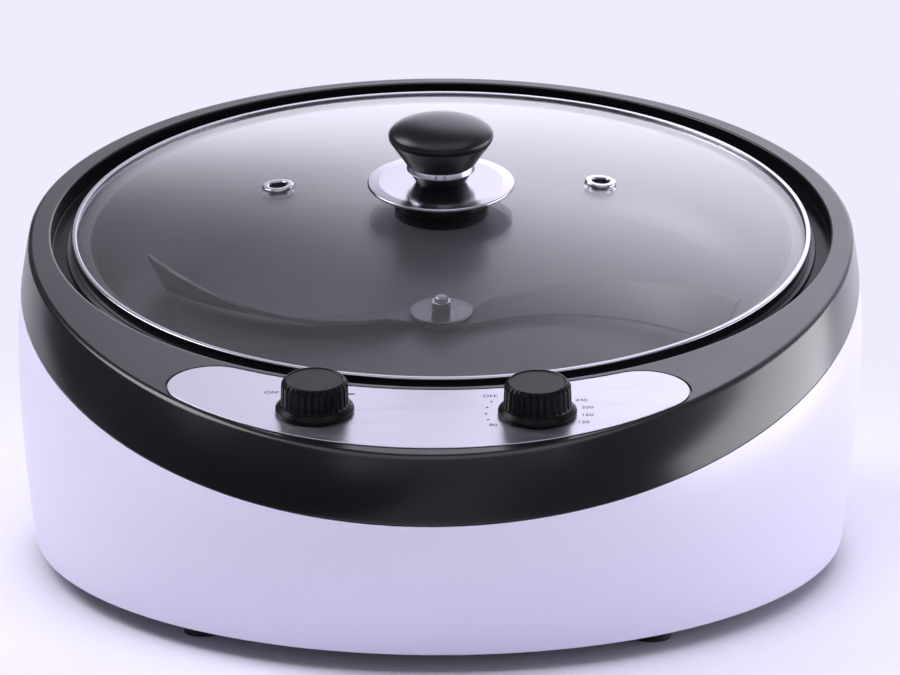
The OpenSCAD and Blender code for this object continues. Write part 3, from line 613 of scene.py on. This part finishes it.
shell = cut_along_seam("shell", False, 0)
cover = cut_along_seam("cover", True, SEAM_GAP)
bpy.data.objects.remove(blank)
for moulding, thickness in ((shell, SHELL_T), (cover, COVER_T)):
    thicken(moulding, thickness)
    bevel(moulding, 0.3 * MM, 2, 60)
    apply_all(moulding)
print("mouldings:", len(shell.data.polygons), "and", len(cover.data.polygons), "faces")

# %% [markdown]
# ## The panel and its pocket
# The panel's outline is four arcs: a back edge that follows the recess, a flatter front edge
# and two round ends that touch both. The same outline, a little larger, cuts a shallow pocket
# into the cover, and the difference shows as a fine dark line round the steel. The cover's
# faces inside the recess then take a finish that mirrors almost nothing: painted shade for
# the shade that lies deep in the recess.

# %% Outline of the panel
PANEL_BACK_R = 174      # radius of the edge that follows the recess
PANEL_ARC_R = 138       # radius of the front edge
PANEL_END_R = 19        # radius of both ends
PANEL_SETBACK = 8.4     # from the front of the cover's face to the panel
PANEL_FRONT = (FRONT - NOSE_DRAW) / MM / math.cos(TILT) - PANEL_SETBACK
PANEL_TOP_H = 3.7
PANEL_T = 1
GROOVE = 1.1            # width of the dark line round the panel
CLEAR_H = 20            # well above the cover
LONG_STEPS = 64
END_STEPS = 24
arc_v = PANEL_ARC_R - PANEL_FRONT
reach = PANEL_BACK_R + PANEL_END_R
end_v = ((PANEL_ARC_R - PANEL_END_R) ** 2 - reach**2 - arc_v**2) / (-2 * arc_v)
end_u = math.sqrt(reach**2 - end_v**2)


def arc(centre, radius, start, stop, steps):
    """Points of an arc from angle start to stop, without the last one."""
    angles = [start + (stop - start) * step / steps for step in range(steps)]
    return [centre + radius * Vector((math.cos(angle), math.sin(angle))) for angle in angles]


def panel_points(grow):
    """The panel's outline, made larger all round by this much."""
    to_back = math.atan2(end_v, end_u)
    to_front = math.atan2(end_v - arc_v, end_u)
    middle = Vector((0, 0))
    front_middle = Vector((0, arc_v))
    right_end = Vector((end_u, end_v))
    left_end = Vector((-end_u, end_v))
    points = arc(middle, PANEL_BACK_R - grow, -math.pi - to_back, to_back, LONG_STEPS)
    points += arc(right_end, PANEL_END_R + grow, to_back + math.pi, to_front, END_STEPS)
    points += arc(front_middle, PANEL_ARC_R + grow, to_front, -math.pi - to_front, LONG_STEPS)
    points += arc(left_end, PANEL_END_R + grow, -math.pi - to_front, -2 * math.pi - to_back, END_STEPS)
    return points


def plate(name, points, low, high):
    """A flat plate with this outline between two heights, all in millimetres."""
    start_clean()
    bpy.ops.mesh.primitive_circle_add(vertices=len(points), radius=1, fill_type="NGON")
    piece = bpy.context.object
    piece.name = piece.data.name = name
    for vertex, point in zip(piece.data.vertices, points):
        vertex.co = Vector((point.x, point.y, low)) * MM
    bpy.ops.object.mode_set(mode="EDIT")
    bpy.ops.mesh.select_all(action="SELECT")
    bpy.ops.mesh.extrude_region_move(TRANSFORM_OT_translate={"value": (0, 0, (high - low) * MM)})
    bpy.ops.mesh.select_all(action="SELECT")
    bpy.ops.mesh.normals_make_consistent(inside=False)
    bpy.ops.object.mode_set(mode="OBJECT")
    return piece


def cut_with(piece, *cutters):
    """Takes the cutters' shapes out of a piece, and deletes the cutters."""
    select_only(piece)
    for cutter in cutters:
        modifier = piece.modifiers.new("cut", "BOOLEAN")
        modifier.operation = "DIFFERENCE"
        modifier.object = cutter
        modifier.solver = "EXACT"
        bpy.ops.object.modifier_apply(modifier=modifier.name)
    for cutter in cutters:
        bpy.data.objects.remove(cutter)


pocket = lean(plate("pocket", panel_points(GROOVE), PANEL_TOP_H - PANEL_T, CLEAR_H))
cut_with(cover, pocket)
settle(shell, "white_shell", "casing", "lower_shell")
settle(cover, "dark_cover", "casing", "top_cover")
# painted shade: the cover's faces inside the recess take the finish that mirrors almost nothing
cover.data.materials.append(recess_painted_shade)
for face in cover.data.polygons:
    middle = AXIS_FRAME.inverted() @ face.center
    if math.hypot(middle.x, middle.y) < RECESS_R + RECESS_ROUND / 4:
        face.material_index = 1
panel = plate("panel", panel_points(0), PANEL_TOP_H - PANEL_T, PANEL_TOP_H)
bevel(panel, 0.25 * MM, 3)
settle(lean(panel), "panel_steel", "casing", "control_panel")

# %% [markdown]
# ## The lid
# The dome is one thin sheet of glass: its upper and lower faces are parts of two spheres. Its
# profile is turned round the axis, and two holes are drilled for the vents. A rolled steel rim
# grips its edge.

# %% Glass and rim
LID_R = 161.3
RIM_W = 1.6
RIM_H = 6
RIM_LIP = 0.8          # how far the rim's lips reach over the glass
GLASS_T = 4
DOME_RISE = 13.2
CLAMP_HOLE_R = 5
DOME_STEPS = 18
GLASS_R = LID_R - RIM_W - 0.1
APEX = GLASS_T / 2 - 0.2 + DOME_RISE
DOME_R = (GLASS_R**2 + DOME_RISE**2) / (2 * DOME_RISE)
VENT_R = 3.8
VENT_REACH = 75        # from the axis to a vent
VENT_ANGLES = (164.5, 22.4)


def dome_height(radius, sphere):
    return APEX - DOME_R + math.sqrt(sphere**2 - radius**2)


span = GLASS_R - CLAMP_HOLE_R
outward = [CLAMP_HOLE_R + span * step / DOME_STEPS for step in range(DOME_STEPS + 1)]
inward = [GLASS_R - span * step / DOME_STEPS for step in range(DOME_STEPS + 1)]
glass_profile = [(radius, dome_height(radius, DOME_R)) for radius in outward]
glass_profile += [(radius, dome_height(radius, DOME_R - GLASS_T)) for radius in inward]
glass = turned("glass_dome", glass_profile, steps=192, hoop=True)


def on_dome(angle):
    """Matrix of a vent's frame: on the dome's top face and square to it."""
    centre = Matrix.Translation((0, 0, (APEX - DOME_R) * MM))
    round_axis = Matrix.Rotation(math.radians(angle), 4, "Z")
    down_slope = Matrix.Rotation(math.asin(VENT_REACH / DOME_R), 4, "Y")
    return centre @ round_axis @ down_slope @ Matrix.Translation((0, 0, DOME_R * MM))


def drill(matrix, radius, length):
    """A cylinder to cut with, placed by a matrix. Radius and length are in millimetres."""
    start_clean()
    bpy.ops.mesh.primitive_cylinder_add(vertices=48, radius=radius * MM, depth=length * MM)
    bit = bpy.context.object
    bit.matrix_world = matrix @ bit.matrix_world
    apply_all(bit)
    return bit


cut_with(glass, *[drill(on_dome(angle), VENT_R + 1.4, CLEAR_H) for angle in VENT_ANGLES])
settle(lean(glass), "glass", "lid", "lid_glass", angle=50)

rim_top = RIM_H / 2
grip_r = LID_R - RIM_W
lip_r = grip_r - RIM_LIP
grip_top = 2.1         # the glass edge lies between these two heights
grip_low = -2.3
rim = turned("rim", [
    (lip_r, grip_top, 0.15), (lip_r, rim_top, 0.4), (LID_R, rim_top, 0.7),
    (LID_R, -rim_top, 0.7), (lip_r, -rim_top, 0.4), (lip_r, grip_low, 0.15),
    (grip_r, grip_low), (grip_r, grip_top)], steps=192, arc=5, hoop=True)
settle(lean(rim), "bright_steel", "lid", "lid_rim")

# %% [markdown]
# The knob is clamped through the glass: a black washer under it, a black collar over it, a
# polished steel disc with a broken edge, a short black neck, a bright ferrule and the
# mushroom-shaped head. Each is turned, and each edge has its small rounding.

# %% Knob, disc, collar and washer
SCREW_R = 2.8
COLLAR_R = 20.5
COLLAR_TOP = APEX + 7.6
DISC_R = 32
DISC_TOP = COLLAR_TOP + 1.4
WASHER_TOP = APEX - GLASS_T - 0.2
WASHER_LOW = WASHER_TOP - 3.6
collar = pierced_disc("collar", SCREW_R, COLLAR_R, APEX, COLLAR_TOP, 0.5, 0.8)
washer = pierced_disc("washer", SCREW_R, COLLAR_R, WASHER_LOW, WASHER_TOP, 1.2, 0.4)
disc = turned("steel_disc", [
    (SCREW_R, COLLAR_TOP), (DISC_R, COLLAR_TOP, 0.4), (DISC_R, DISC_TOP - 0.1, 0.6),
    (DISC_R - 5, DISC_TOP + 0.1, 4), (SCREW_R, DISC_TOP)], hoop=True, arc=5)
settle(lean(collar), "black_plastic", "lid", "lid_collar")
settle(lean(washer), "black_plastic", "lid", "lid_washer")
settle(lean(disc), "bright_steel", "lid", "lid_disc")

HEAD_R = 22.8
HEAD_H = 28
FERRULE_IN = 12
NECK_TOP = DISC_TOP + 6
HEAD_LOW = NECK_TOP + 3
HEAD_MID = DISC_TOP + HEAD_H * 0.78
CROWN_H = DISC_TOP + HEAD_H - HEAD_MID
CROWN_STEPS = 16
head_profile = [
    (3, DISC_TOP), (10.5, DISC_TOP, 0.4), (14, NECK_TOP, 0.3), (FERRULE_IN, NECK_TOP),
    (FERRULE_IN, HEAD_LOW), (15.2, HEAD_LOW + 0.3, 0.8), (HEAD_R - 0.2, HEAD_MID - 1.6, 2.5)]
for step in range(CROWN_STEPS):
    turn = math.pi / 2 * step / CROWN_STEPS
    head_profile.append((HEAD_R * math.cos(turn) ** 0.8, HEAD_MID + CROWN_H * math.sin(turn)))
knob = turned("lid_knob_head", head_profile, steps=96, arc=6, start=True, end=True)
settle(lean(knob), "black_plastic", "lid", "lid_knob")
ferrule = turned("ferrule", [
    (FERRULE_IN + 0.1, NECK_TOP), (15, NECK_TOP, 0.5), (14.6, HEAD_LOW, 0.5),
    (FERRULE_IN + 0.1, HEAD_LOW)], hoop=True)
settle(lean(ferrule), "bright_steel", "lid", "lid_ferrule")

# %% [markdown]
# The two vents are rivet-like grommets. One profile goes through the hole in the glass and
# rests on it with a lip above and a lip below. It is turned twice, once for each hole.

# %% Steam vents
LIP_R = VENT_R + 3.2
LIP_T = 1.4
BARREL_R = VENT_R + 1.2
grommet_profile = [
    (VENT_R, LIP_T, 0.7), (LIP_R, LIP_T, 0.8), (LIP_R, 0, 0.1), (BARREL_R, 0),
    (BARREL_R, -GLASS_T), (LIP_R, -GLASS_T, 0.1), (LIP_R, -GLASS_T - LIP_T, 0.6),
    (VENT_R, -GLASS_T - LIP_T, 0.4)]
for side, angle in zip(("left", "right"), VENT_ANGLES):
    grommet = turned("vent_" + side, grommet_profile, steps=64, hoop=True)
    grommet.matrix_world = on_dome(angle)
    settle(lean(grommet), "bright_steel", "lid", "vent_grommet_" + side)

# %% [markdown]
# ## Pan and stirrer
# The pan is spun sheet with a dark non-stick coating. Its floor has a shallow step near the
# edge, and its flange lies on the ledge of the recess. The lid's rim stands on the flange.

# %% The roasting pan
PAN_R = 152.3          # inside, at the top
PAN_FLOOR_R = 122.3
PAN_T = 2
BORE_R = 7.05
FLANGE_R = 163.5
FLANGE_T = 1.2
LID_LOW = -3
STEP_R = 117
floor_mm = FLOOR_H / MM
outer_floor = floor_mm - 0.5
fillet = PAN_R - 2 - PAN_FLOOR_R
corner_r = PAN_FLOOR_R + fillet
pan = turned("pan", [
    (BORE_R, floor_mm), (STEP_R, floor_mm, 0.4), (STEP_R + 0.8, outer_floor, 0.4),
    (corner_r, outer_floor, fillet), (PAN_R, LID_LOW, 0.8), (FLANGE_R, LID_LOW, 0.5),
    (FLANGE_R, LID_LOW - FLANGE_T, 0.5), (PAN_R + PAN_T, LID_LOW - FLANGE_T, 0.3),
    (corner_r + PAN_T, floor_mm - PAN_T, fillet + PAN_T), (BORE_R, floor_mm - PAN_T)],
    steps=192, arc=12, hoop=True)
settle(lean(pan), "pan_coating", "casing", "roasting_pan")

# %% [markdown]
# The blade is a strip of sheet in an S. Near the hub it lies almost flat, and towards its
# ends it rises and stands up, so that it ploughs the beans off the floor and turns them. One
# arm is a grid of points between its lower and its upper edge, both parabolas in plan. The
# grid is thickened, its edges are rounded, and a copy turned by half a turn is the other arm.

# %% The stirring blade
BLADE_REACH = 130.3
BLADE_T = 2
BLADE_RISE = 19
HUB_EDGE_H = 3
ARM_START = 9.5
END_SLANT = 8          # how much further out the upper edge reaches
HOLLOW = 1.2           # how deep the blade's face is curved at its end
ARM_LOW = floor_mm + BLADE_T / 2 + 1
ALONG = 56
ACROSS = 8
STUD_R = 3
CLAMP_R = 14
HUB_R = CLAMP_R - 0.4
HUB_LOW = floor_mm + 1.5
HUB_TOP = HUB_LOW + 2.4


def bow(u, top, at, near, far):
    """A bow in plan, with its crest at the share `at` of the reach. It falls to both sides."""
    share = u / BLADE_REACH
    return BLADE_REACH * (top - (share - at) ** 2 * (near if share < at else far))


def lower_edge(q):
    """Point of the arm's lower edge at a share of its length."""
    u = ARM_START + (BLADE_REACH - END_SLANT - ARM_START) * q
    return Vector((u, bow(u, 0.0231, 0.4154, 1, 0.8176), ARM_LOW))


def upper_edge(q):
    """Point of the arm's upper edge, which rises out of the hub towards the end."""
    u = ARM_START + (BLADE_REACH - ARM_START) * q
    out_of_hub = min(1, max(0, (u - CLAMP_R - 0.8) / 9))
    height = ARM_LOW + HUB_EDGE_H * out_of_hub + (BLADE_RISE - HUB_EDGE_H) * q**1.6
    return Vector((u, bow(u, 0.1654, 0.4615, 0.8667, 1.1504), height))


start_clean()
bpy.ops.mesh.primitive_grid_add(x_subdivisions=ALONG, y_subdivisions=ACROSS, size=2)
blade = bpy.context.object
blade.name = blade.data.name = "blade"
for vertex in blade.data.vertices:
    along = (vertex.co.x + 1) / 2
    across = (vertex.co.y + 1) / 2
    hollow = Vector((0, math.sin(math.pi * across) * HOLLOW * along, 0))
    vertex.co = (lower_edge(along).lerp(upper_edge(along), across) + hollow) * MM
wall = blade.modifiers.new("sheet", "SOLIDIFY")
wall.thickness = BLADE_T * MM
wall.offset = 0
bevel(blade, 0.5 * MM, 3)
apply_all(blade)
bpy.ops.object.duplicate()
other_arm = bpy.context.object
other_arm.matrix_world = Matrix.Rotation(math.pi, 4, "Z")
apply_all(other_arm)
hub = pierced_disc("hub", STUD_R, HUB_R, HUB_LOW, HUB_TOP, 0.3, 0.3)
select_only(blade)
other_arm.select_set(True)
hub.select_set(True)
bpy.ops.object.join()
settle(lean(blade), "pan_coating", "stirrer", "stirrer_blade")

# %% [markdown]
# A steel disc and a six-sided nut clamp the blade on the stud of the drive shaft. In the
# photograph the disc looks duller than the other bright pieces, so it has a steel of its own.
# The shaft goes down through the pan to the gearbox.

# %% Clamping disc, nut and shaft
CLAMP_TOP = HUB_TOP + 1.4
NUT_R = 4.8
NUT_H = 4.5
SHAFT_R = 4
SHAFT_LOW = -75.2
STUD_TOP = CLAMP_TOP + NUT_H + 2.2
clamp = pierced_disc("clamping_disc", STUD_R, CLAMP_R, HUB_TOP, CLAMP_TOP, 0.2, 0.5)
settle(lean(clamp), "bright_steel", "stirrer", "stirrer_disc")
clamp.data.materials[0] = dulled_steel

start_clean()
nut_middle = Vector((0, 0, CLAMP_TOP + NUT_H / 2)) * MM
bpy.ops.mesh.primitive_cylinder_add(vertices=6, radius=NUT_R * MM, depth=NUT_H * MM, location=nut_middle)
nut = bpy.context.object
nut.name = nut.data.name = "nut"
apply_all(nut)
cut_with(nut, drill(Matrix.Translation((0, 0, CLAMP_TOP * MM)), STUD_R, CLEAR_H))
bevel(nut, 0.4 * MM, 3, 30)
settle(lean(nut), "bright_steel", "stirrer", "stirrer_nut")

shaft = turned("shaft", [
    (1, SHAFT_LOW), (SHAFT_R, SHAFT_LOW, 0.5), (SHAFT_R, HUB_LOW, 0.2), (STUD_R, HUB_LOW),
    (STUD_R, STUD_TOP, 1.4), (0.6, STUD_TOP)], steps=48, start=True, end=True)
settle(lean(shaft), "plain_steel", "stirrer", "drive_shaft")

# %% [markdown]
# ## The dials
# A dial is a turned blank with a thin skirt, a fluted grip and a bevelled top. The flutes are
# made by drawing in the vertices of the grip between the ribs: the blank has twelve points to
# a flute, and a smooth wave gives each point its depth.

# %% Fluted dials
DIAL_SPREAD = 45       # from the middle to a dial
DIAL_FRONT = 195.3     # from the lid's axis to a dial
DIAL_H = 13.6
SKIRT_R = 16
GRIP_R = 13.8
FLUTES = 28
FLUTE_DEPTH = 0.55
DIAL_LOW = PANEL_TOP_H + 0.4
DIAL_TOP = DIAL_LOW + DIAL_H
DIAL_PROFILE = [
    (6, DIAL_LOW), (SKIRT_R, DIAL_LOW, 0.3), (SKIRT_R, DIAL_LOW + 1.2, 0.5),
    (GRIP_R + 0.2, DIAL_LOW + 3.2, 0.8), (GRIP_R, DIAL_LOW + 4.2), (GRIP_R - 0.3, DIAL_TOP - 2),
    (GRIP_R - 0.5, DIAL_TOP - 1.5, 0.4), (GRIP_R - 1.9, DIAL_TOP, 0.5), (GRIP_R - 2.4, DIAL_TOP),
    (GRIP_R - 2.8, DIAL_TOP - 0.35), (6, DIAL_TOP - 0.35)]


def make_dial(name, side):
    """A fluted dial, on the left where side is -1 and on the right where it is 1."""
    points = [point * MM for point in rounded(DIAL_PROFILE)]
    grip_low = (DIAL_LOW + 4.1) * MM
    grip_in = (GRIP_R - 1) * MM
    first = min(ring for ring, point in enumerate(points) if point.y >= grip_low)
    last = max(ring for ring, point in enumerate(points) if point.x > grip_in)

    def place(ring, angle):
        radius, height = points[ring]
        if first <= ring <= last:
            radius -= FLUTE_DEPTH * MM * max(0, math.cos(angle * FLUTES)) ** 1.5
        return Vector((radius * math.cos(angle), radius * math.sin(angle), height))

    dial = ring_shape(name, len(points), FLUTES * 12, place, True, True)
    dial.location = (side * DIAL_SPREAD * MM, -DIAL_FRONT * MM, 0)
    return lean(dial)


settle(make_dial("timer_dial_cap", -1), "dial_black", "timer_dial", "timer_knob")
settle(make_dial("thermostat_dial_cap", 1), "dial_black", "thermostat_dial", "thermostat_knob")

# %% [markdown]
# ## Marks on the panel
# The panel carries small printed marks: OFF and a dash beside the timer's dial, and OFF, dots
# and plain numbers round the thermostat's. Each is a text, a disc or a bar, made a mesh and
# standing 0.03 mm above the steel. All of them are joined into one piece.

# %% Printed marks
MARK_T = 0.03          # how far a mark stands above the steel
TEXT_SIZE = 3.4
DOT_R = 0.55


def mark_text(words, u, v):
    start_clean()
    bpy.ops.object.text_add(location=(0, 0, 0))
    mark = bpy.context.object
    mark.data.body = words
    mark.data.size = TEXT_SIZE * MM
    mark.data.extrude = MARK_T * MM
    mark.data.align_x = "CENTER"
    mark.data.align_y = "CENTER"
    bpy.ops.object.convert(target="MESH")
    mark = bpy.context.object
    bpy.ops.object.mode_set(mode="EDIT")
    bpy.ops.mesh.select_all(action="SELECT")
    bpy.ops.mesh.remove_doubles(threshold=0.002 * MM)
    bpy.ops.mesh.normals_make_consistent(inside=False)
    bpy.ops.object.mode_set(mode="OBJECT")
    return place_mark(mark, u, v)


def mark_dot(u, v):
    start_clean()
    bpy.ops.mesh.primitive_cylinder_add(vertices=20, radius=DOT_R * MM, depth=2 * MARK_T * MM)
    return place_mark(bpy.context.object, u, v)


def mark_dash(u, v, length):
    start_clean()
    bpy.ops.mesh.primitive_cube_add(size=MM)
    dash = bpy.context.object
    dash.scale = (length, 1.1, 2 * MARK_T)
    return place_mark(dash, u, v)


def place_mark(mark, u, v):
    """Puts a mark half into the steel's top face."""
    mark.location = Vector((u, v, PANEL_TOP_H)) * MM
    apply_all(mark)
    return mark


marks = [mark_text("OFF", -63.6, -178.4), mark_dash(-31.2, -179, 3.2)]
marks += [mark_text("OFF", 25.4, -179.6), mark_text("80", 27.4, -207.4)]
for u, v in ((26.2, -184.9), (24.6, -190.6), (24.2, -196.6), (25.2, -202.2)):
    marks.append(mark_dot(u, v))
degrees = (("240", 62.6, -182.4), ("200", 65.2, -189.4), ("160", 65.2, -196.6), ("120", 63.6, -203.6))
for words, u, v in degrees:
    marks.append(mark_text(words, u, v))
start_clean()
for mark in marks:
    mark.select_set(True)
bpy.context.view_layer.objects.active = marks[0]
bpy.ops.object.join()
printed = bpy.context.object
printed.name = printed.data.name = "printed_marks"
settle(lean(printed), "dial_black", "casing")

# %% [markdown]
# ## Feet
# Four rubber feet, turned, with a slight taper and a soft lower edge, and a hollow in which
# the screw's head lies.

# %% Rubber feet
FOOT_R = 9.5
FOOT_TOP = 8
HOLLOW_H = 4
foot_profile = [
    (2, HOLLOW_H), (4.5, HOLLOW_H), (4.5, 0, 0.3), (FOOT_R - 1.5, 0, 0.8), (FOOT_R, FOOT_TOP, 0.2),
    (2, FOOT_TOP)]
for corner in ("front_left", "front_right", "rear_left", "rear_right"):
    node_name = "foot_" + corner
    low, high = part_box(node_name)
    foot = turned("rubber_" + corner, foot_profile, steps=64, hoop=True)
    foot.location = ((low[0] + high[0]) / 2, (low[1] + high[1]) / 2, 0)
    apply_all(foot)
    settle(foot, "rubber", "casing", node_name)

# %% [markdown]
# ## Floor, background and light
# The floor is a large pale disc. Close to the roaster it takes light and shadow as any surface
# does. From 0.14 m out from the floor's centre it fades into the plain colour of the background,
# so no horizon shows. That glow already begins under the roaster's edge, so it paints light into
# the contact shadow and makes it paler. The gloss of the casing mirrors the floor behind it in
# that plain colour too, and brighter to the right, so that the right end of the dark band shines
# as in the photograph.

# %% Stage
BACKGROUND = (0.86, 0.84, 0.98)
start_clean()
bpy.ops.mesh.primitive_circle_add(vertices=128, radius=6, fill_type="NGON")
floor = bpy.context.object
floor.name = "floor"


def make_floor_finish():
    material, tree, shader = new_material("pale floor")
    shader.inputs["Base Color"].default_value = (0.84, 0.82, 0.93, 1)
    shader.inputs["Roughness"].default_value = 0.7
    shader.inputs["Specular IOR Level"].default_value = 0.2
    plain = tree.nodes.new("ShaderNodeEmission")
    plain.inputs["Color"].default_value = (*BACKGROUND, 1)
    rays = tree.nodes.new("ShaderNodeLightPath")
    place = tree.nodes.new("ShaderNodeTexCoord")
    parts = tree.nodes.new("ShaderNodeSeparateXYZ")
    distance = tree.nodes.new("ShaderNodeVectorMath")
    distance.operation = "LENGTH"
    tree.links.new(place.outputs["Object"], parts.inputs["Vector"])
    tree.links.new(place.outputs["Object"], distance.inputs[0])

    def span(source, start, stop, high=1.0):
        """From 0 to high as the source goes from start to stop."""
        node = tree.nodes.new("ShaderNodeMapRange")
        set_range(node, start, stop)
        node.inputs["To Max"].default_value = high
        tree.links.new(source, node.inputs["Value"])
        return node

    def calculate(operation, *sources):
        node = tree.nodes.new("ShaderNodeMath")
        node.operation = operation
        for source, socket in zip(sources, node.inputs):
            tree.links.new(source, socket)
        return node

    # painted light: the background glow begins under the roaster's edge and lightens its contact shadow
    fade = span(distance.outputs["Value"], 0.14, 0.52)
    fade.interpolation_type = "SMOOTHSTEP"
    behind = span(parts.outputs["Y"], -0.1, 0.5)
    to_right = span(parts.outputs["X"], 0.05, 0.6, 0.6)
    mirrored = calculate("MULTIPLY", behind.outputs["Result"], rays.outputs["Is Glossy Ray"])
    either = calculate("MAXIMUM", rays.outputs["Is Camera Ray"], mirrored.outputs["Value"])
    seen = calculate("MULTIPLY", fade.outputs["Result"], either.outputs["Value"])
    strength = calculate("MULTIPLY_ADD", to_right.outputs["Result"], rays.outputs["Is Glossy Ray"])
    strength.inputs[2].default_value = 1
    tree.links.new(strength.outputs["Value"], plain.inputs["Strength"])
    choice = tree.nodes.new("ShaderNodeMixShader")
    tree.links.new(seen.outputs["Value"], choice.inputs["Fac"])
    tree.links.new(shader.outputs["BSDF"], choice.inputs[1])
    tree.links.new(plain.outputs["Emission"], choice.inputs[2])
    tree.links.new(choice.outputs["Shader"], tree.nodes["Material Output"].inputs["Surface"])
    return material


floor.data.materials.append(make_floor_finish())
print("floor:", floor.name)

# %% [markdown]
# The surroundings are what the gloss and the glass mirror. They are brightest low down behind
# the roaster, dimmer to the right and in front, and dark to the left and overhead. The camera
# itself sees only the plain background colour.

# %% Surroundings
world = bpy.data.worlds.new("studio")
bpy.context.scene.world = world
world.use_nodes = True
studio = world.node_tree


def ramp(source, low_from, high_from, low_to, high_to):
    """A soft step from one strength to another as a direction's component grows."""
    node = studio.nodes.new("ShaderNodeMapRange")
    node.interpolation_type = "SMOOTHSTEP"
    set_range(node, low_from, high_from)
    node.inputs["To Min"].default_value = low_to
    node.inputs["To Max"].default_value = high_to
    studio.links.new(source, node.inputs["Value"])
    return node.outputs["Result"]


def times(first, second):
    node = studio.nodes.new("ShaderNodeMath")
    node.operation = "MULTIPLY"
    studio.links.new(first, node.inputs[0])
    studio.links.new(second, node.inputs[1])
    return node.outputs["Value"]


direction = studio.nodes.new("ShaderNodeTexCoord")
parts = studio.nodes.new("ShaderNodeSeparateXYZ")
studio.links.new(direction.outputs["Generated"], parts.inputs["Vector"])
slanting = studio.nodes.new("ShaderNodeVectorMath")
slanting.operation = "DOT_PRODUCT"
slanting.inputs[1].default_value = (1, 0, -0.6)
studio.links.new(direction.outputs["Generated"], slanting.inputs[0])
by_side = ramp(slanting.outputs["Value"], -0.52, -0.30, 0.10, 2.4)
by_height = ramp(parts.outputs["Z"], 0.58, 0.84, 1.0, 0.08)
by_end = ramp(parts.outputs["X"], 0.2, 0.6, 1.0, 0.3)
by_depth = ramp(parts.outputs["Y"], -0.35, 0.45, 0.2, 1.06)
sky = studio.nodes["Background"]
sky.inputs["Color"].default_value = (0.88, 0.85, 1.0, 1)
studio.links.new(times(times(by_height, by_side), times(by_end, by_depth)), sky.inputs["Strength"])
seen = studio.nodes.new("ShaderNodeBackground")
seen.inputs["Color"].default_value = (*BACKGROUND, 1)
rays = studio.nodes.new("ShaderNodeLightPath")
choice = studio.nodes.new("ShaderNodeMixShader")
studio.links.new(rays.outputs["Is Camera Ray"], choice.inputs["Fac"])
studio.links.new(sky.outputs["Background"], choice.inputs[1])
studio.links.new(seen.outputs["Background"], choice.inputs[2])
studio.links.new(choice.outputs["Shader"], studio.nodes["World Output"].inputs["Surface"])
print("surroundings:", len(studio.nodes), "nodes")

# %% [markdown]
# Three large soft lamps: one high in front, so that the shadow lies right under the roaster,
# and one on each side for the shell and the ends of the dark band. Each is a pair. One half
# lights only what is matt, and the other, a little nearer, shows only in the gloss. So a lamp
# can light the shell well and still not glare in the steel, or the other way round.

# %% Lamps
TARGET = Vector((0, 0, 0.1))


def softbox(name, place, width, height, matt_power, gloss_power):
    """A lamp that lights matt surfaces, and a little nearer a second one that gloss mirrors."""
    for share, power, nearer in (("matt", matt_power, 0), ("gloss", gloss_power, 0.01)):
        light = bpy.data.lights.new(name + " " + share, "AREA")
        light.shape = "RECTANGLE"
        light.size = width
        light.size_y = height
        light.energy = power
        light.color = (0.96, 0.94, 1)
        lamp = bpy.data.objects.new(light.name, light)
        bpy.context.scene.collection.objects.link(lamp)
        lamp.location = Vector(place).lerp(TARGET, nearer)
        lamp.rotation_euler = (TARGET - Vector(place)).to_track_quat("-Z", "Y").to_euler()
        lamp.visible_diffuse = share == "matt"
        lamp.visible_glossy = share == "gloss"
        lamp.visible_transmission = share == "gloss"


softbox("overhead", (0.1, -0.55, 2.0), 2.6, 1.8, 38, 19)
softbox("right side", (1.0, 0.19, 0.21), 0.95, 0.44, 2.6, 6.0)
softbox("left side", (-1.25, 0.25, 1.45), 1.0, 0.9, 18, 18)
print("lamps:", len(bpy.data.lights))

# %% [markdown]
# ## Camera
# The camera stands in front, a little to the right, and looks down on the roaster by about ten
# degrees. It has a long lens and stands 2.4 m away, so the picture is almost free of
# perspective. It aims at one point of the lid, which then falls on the same pixel as in the
# photograph.

# %% Camera at the photograph's view
VIEW_AZIMUTH = math.radians(1.70)
VIEW_ELEVATION = math.radians(10.34)
ROLL = math.radians(0.281)
DISTANCE = 2.385
FOCAL_PIXELS = 5458.8
FRAME_WIDTH = 900
SENSOR = 36
AIM = SEAT + Vector((0, 0, 2.4 * MM))
AIM_PIXEL = Vector((440.55, 226.76))
FRAME_CENTRE = Vector((450, 337.5))
camera_data = bpy.data.cameras.new("camera")
camera_data.sensor_width = SENSOR
camera_data.lens = SENSOR * FOCAL_PIXELS / FRAME_WIDTH
camera_data.clip_start = 0.05
camera_data.clip_end = 50
camera = bpy.data.objects.new("camera", camera_data)
bpy.context.scene.collection.objects.link(camera)
level = math.cos(VIEW_ELEVATION)
back = Vector((
    math.sin(VIEW_AZIMUTH) * level, -math.cos(VIEW_AZIMUTH) * level, math.sin(VIEW_ELEVATION)))
facing = (-back).to_track_quat("-Z", "Y").to_matrix().to_4x4()
off = (AIM_PIXEL - FRAME_CENTRE) / FOCAL_PIXELS
pan_right = Matrix.Rotation(math.atan(off.x), 4, "Y")
tilt_down = Matrix.Rotation(math.atan(off.y), 4, "X")
roll = Matrix.Rotation(ROLL, 4, "Z")
camera.matrix_world = (
    Matrix.Translation(AIM + back * DISTANCE) @ facing @ pan_right @ tilt_down @ roll)
bpy.context.scene.camera = camera
bpy.context.scene.view_settings.view_transform = "Standard"
print("camera:", [round(c, 3) for c in camera.matrix_world.translation])

# %% [markdown]
# Finally the scene is brought up to date.

bpy.context.view_layer.update()
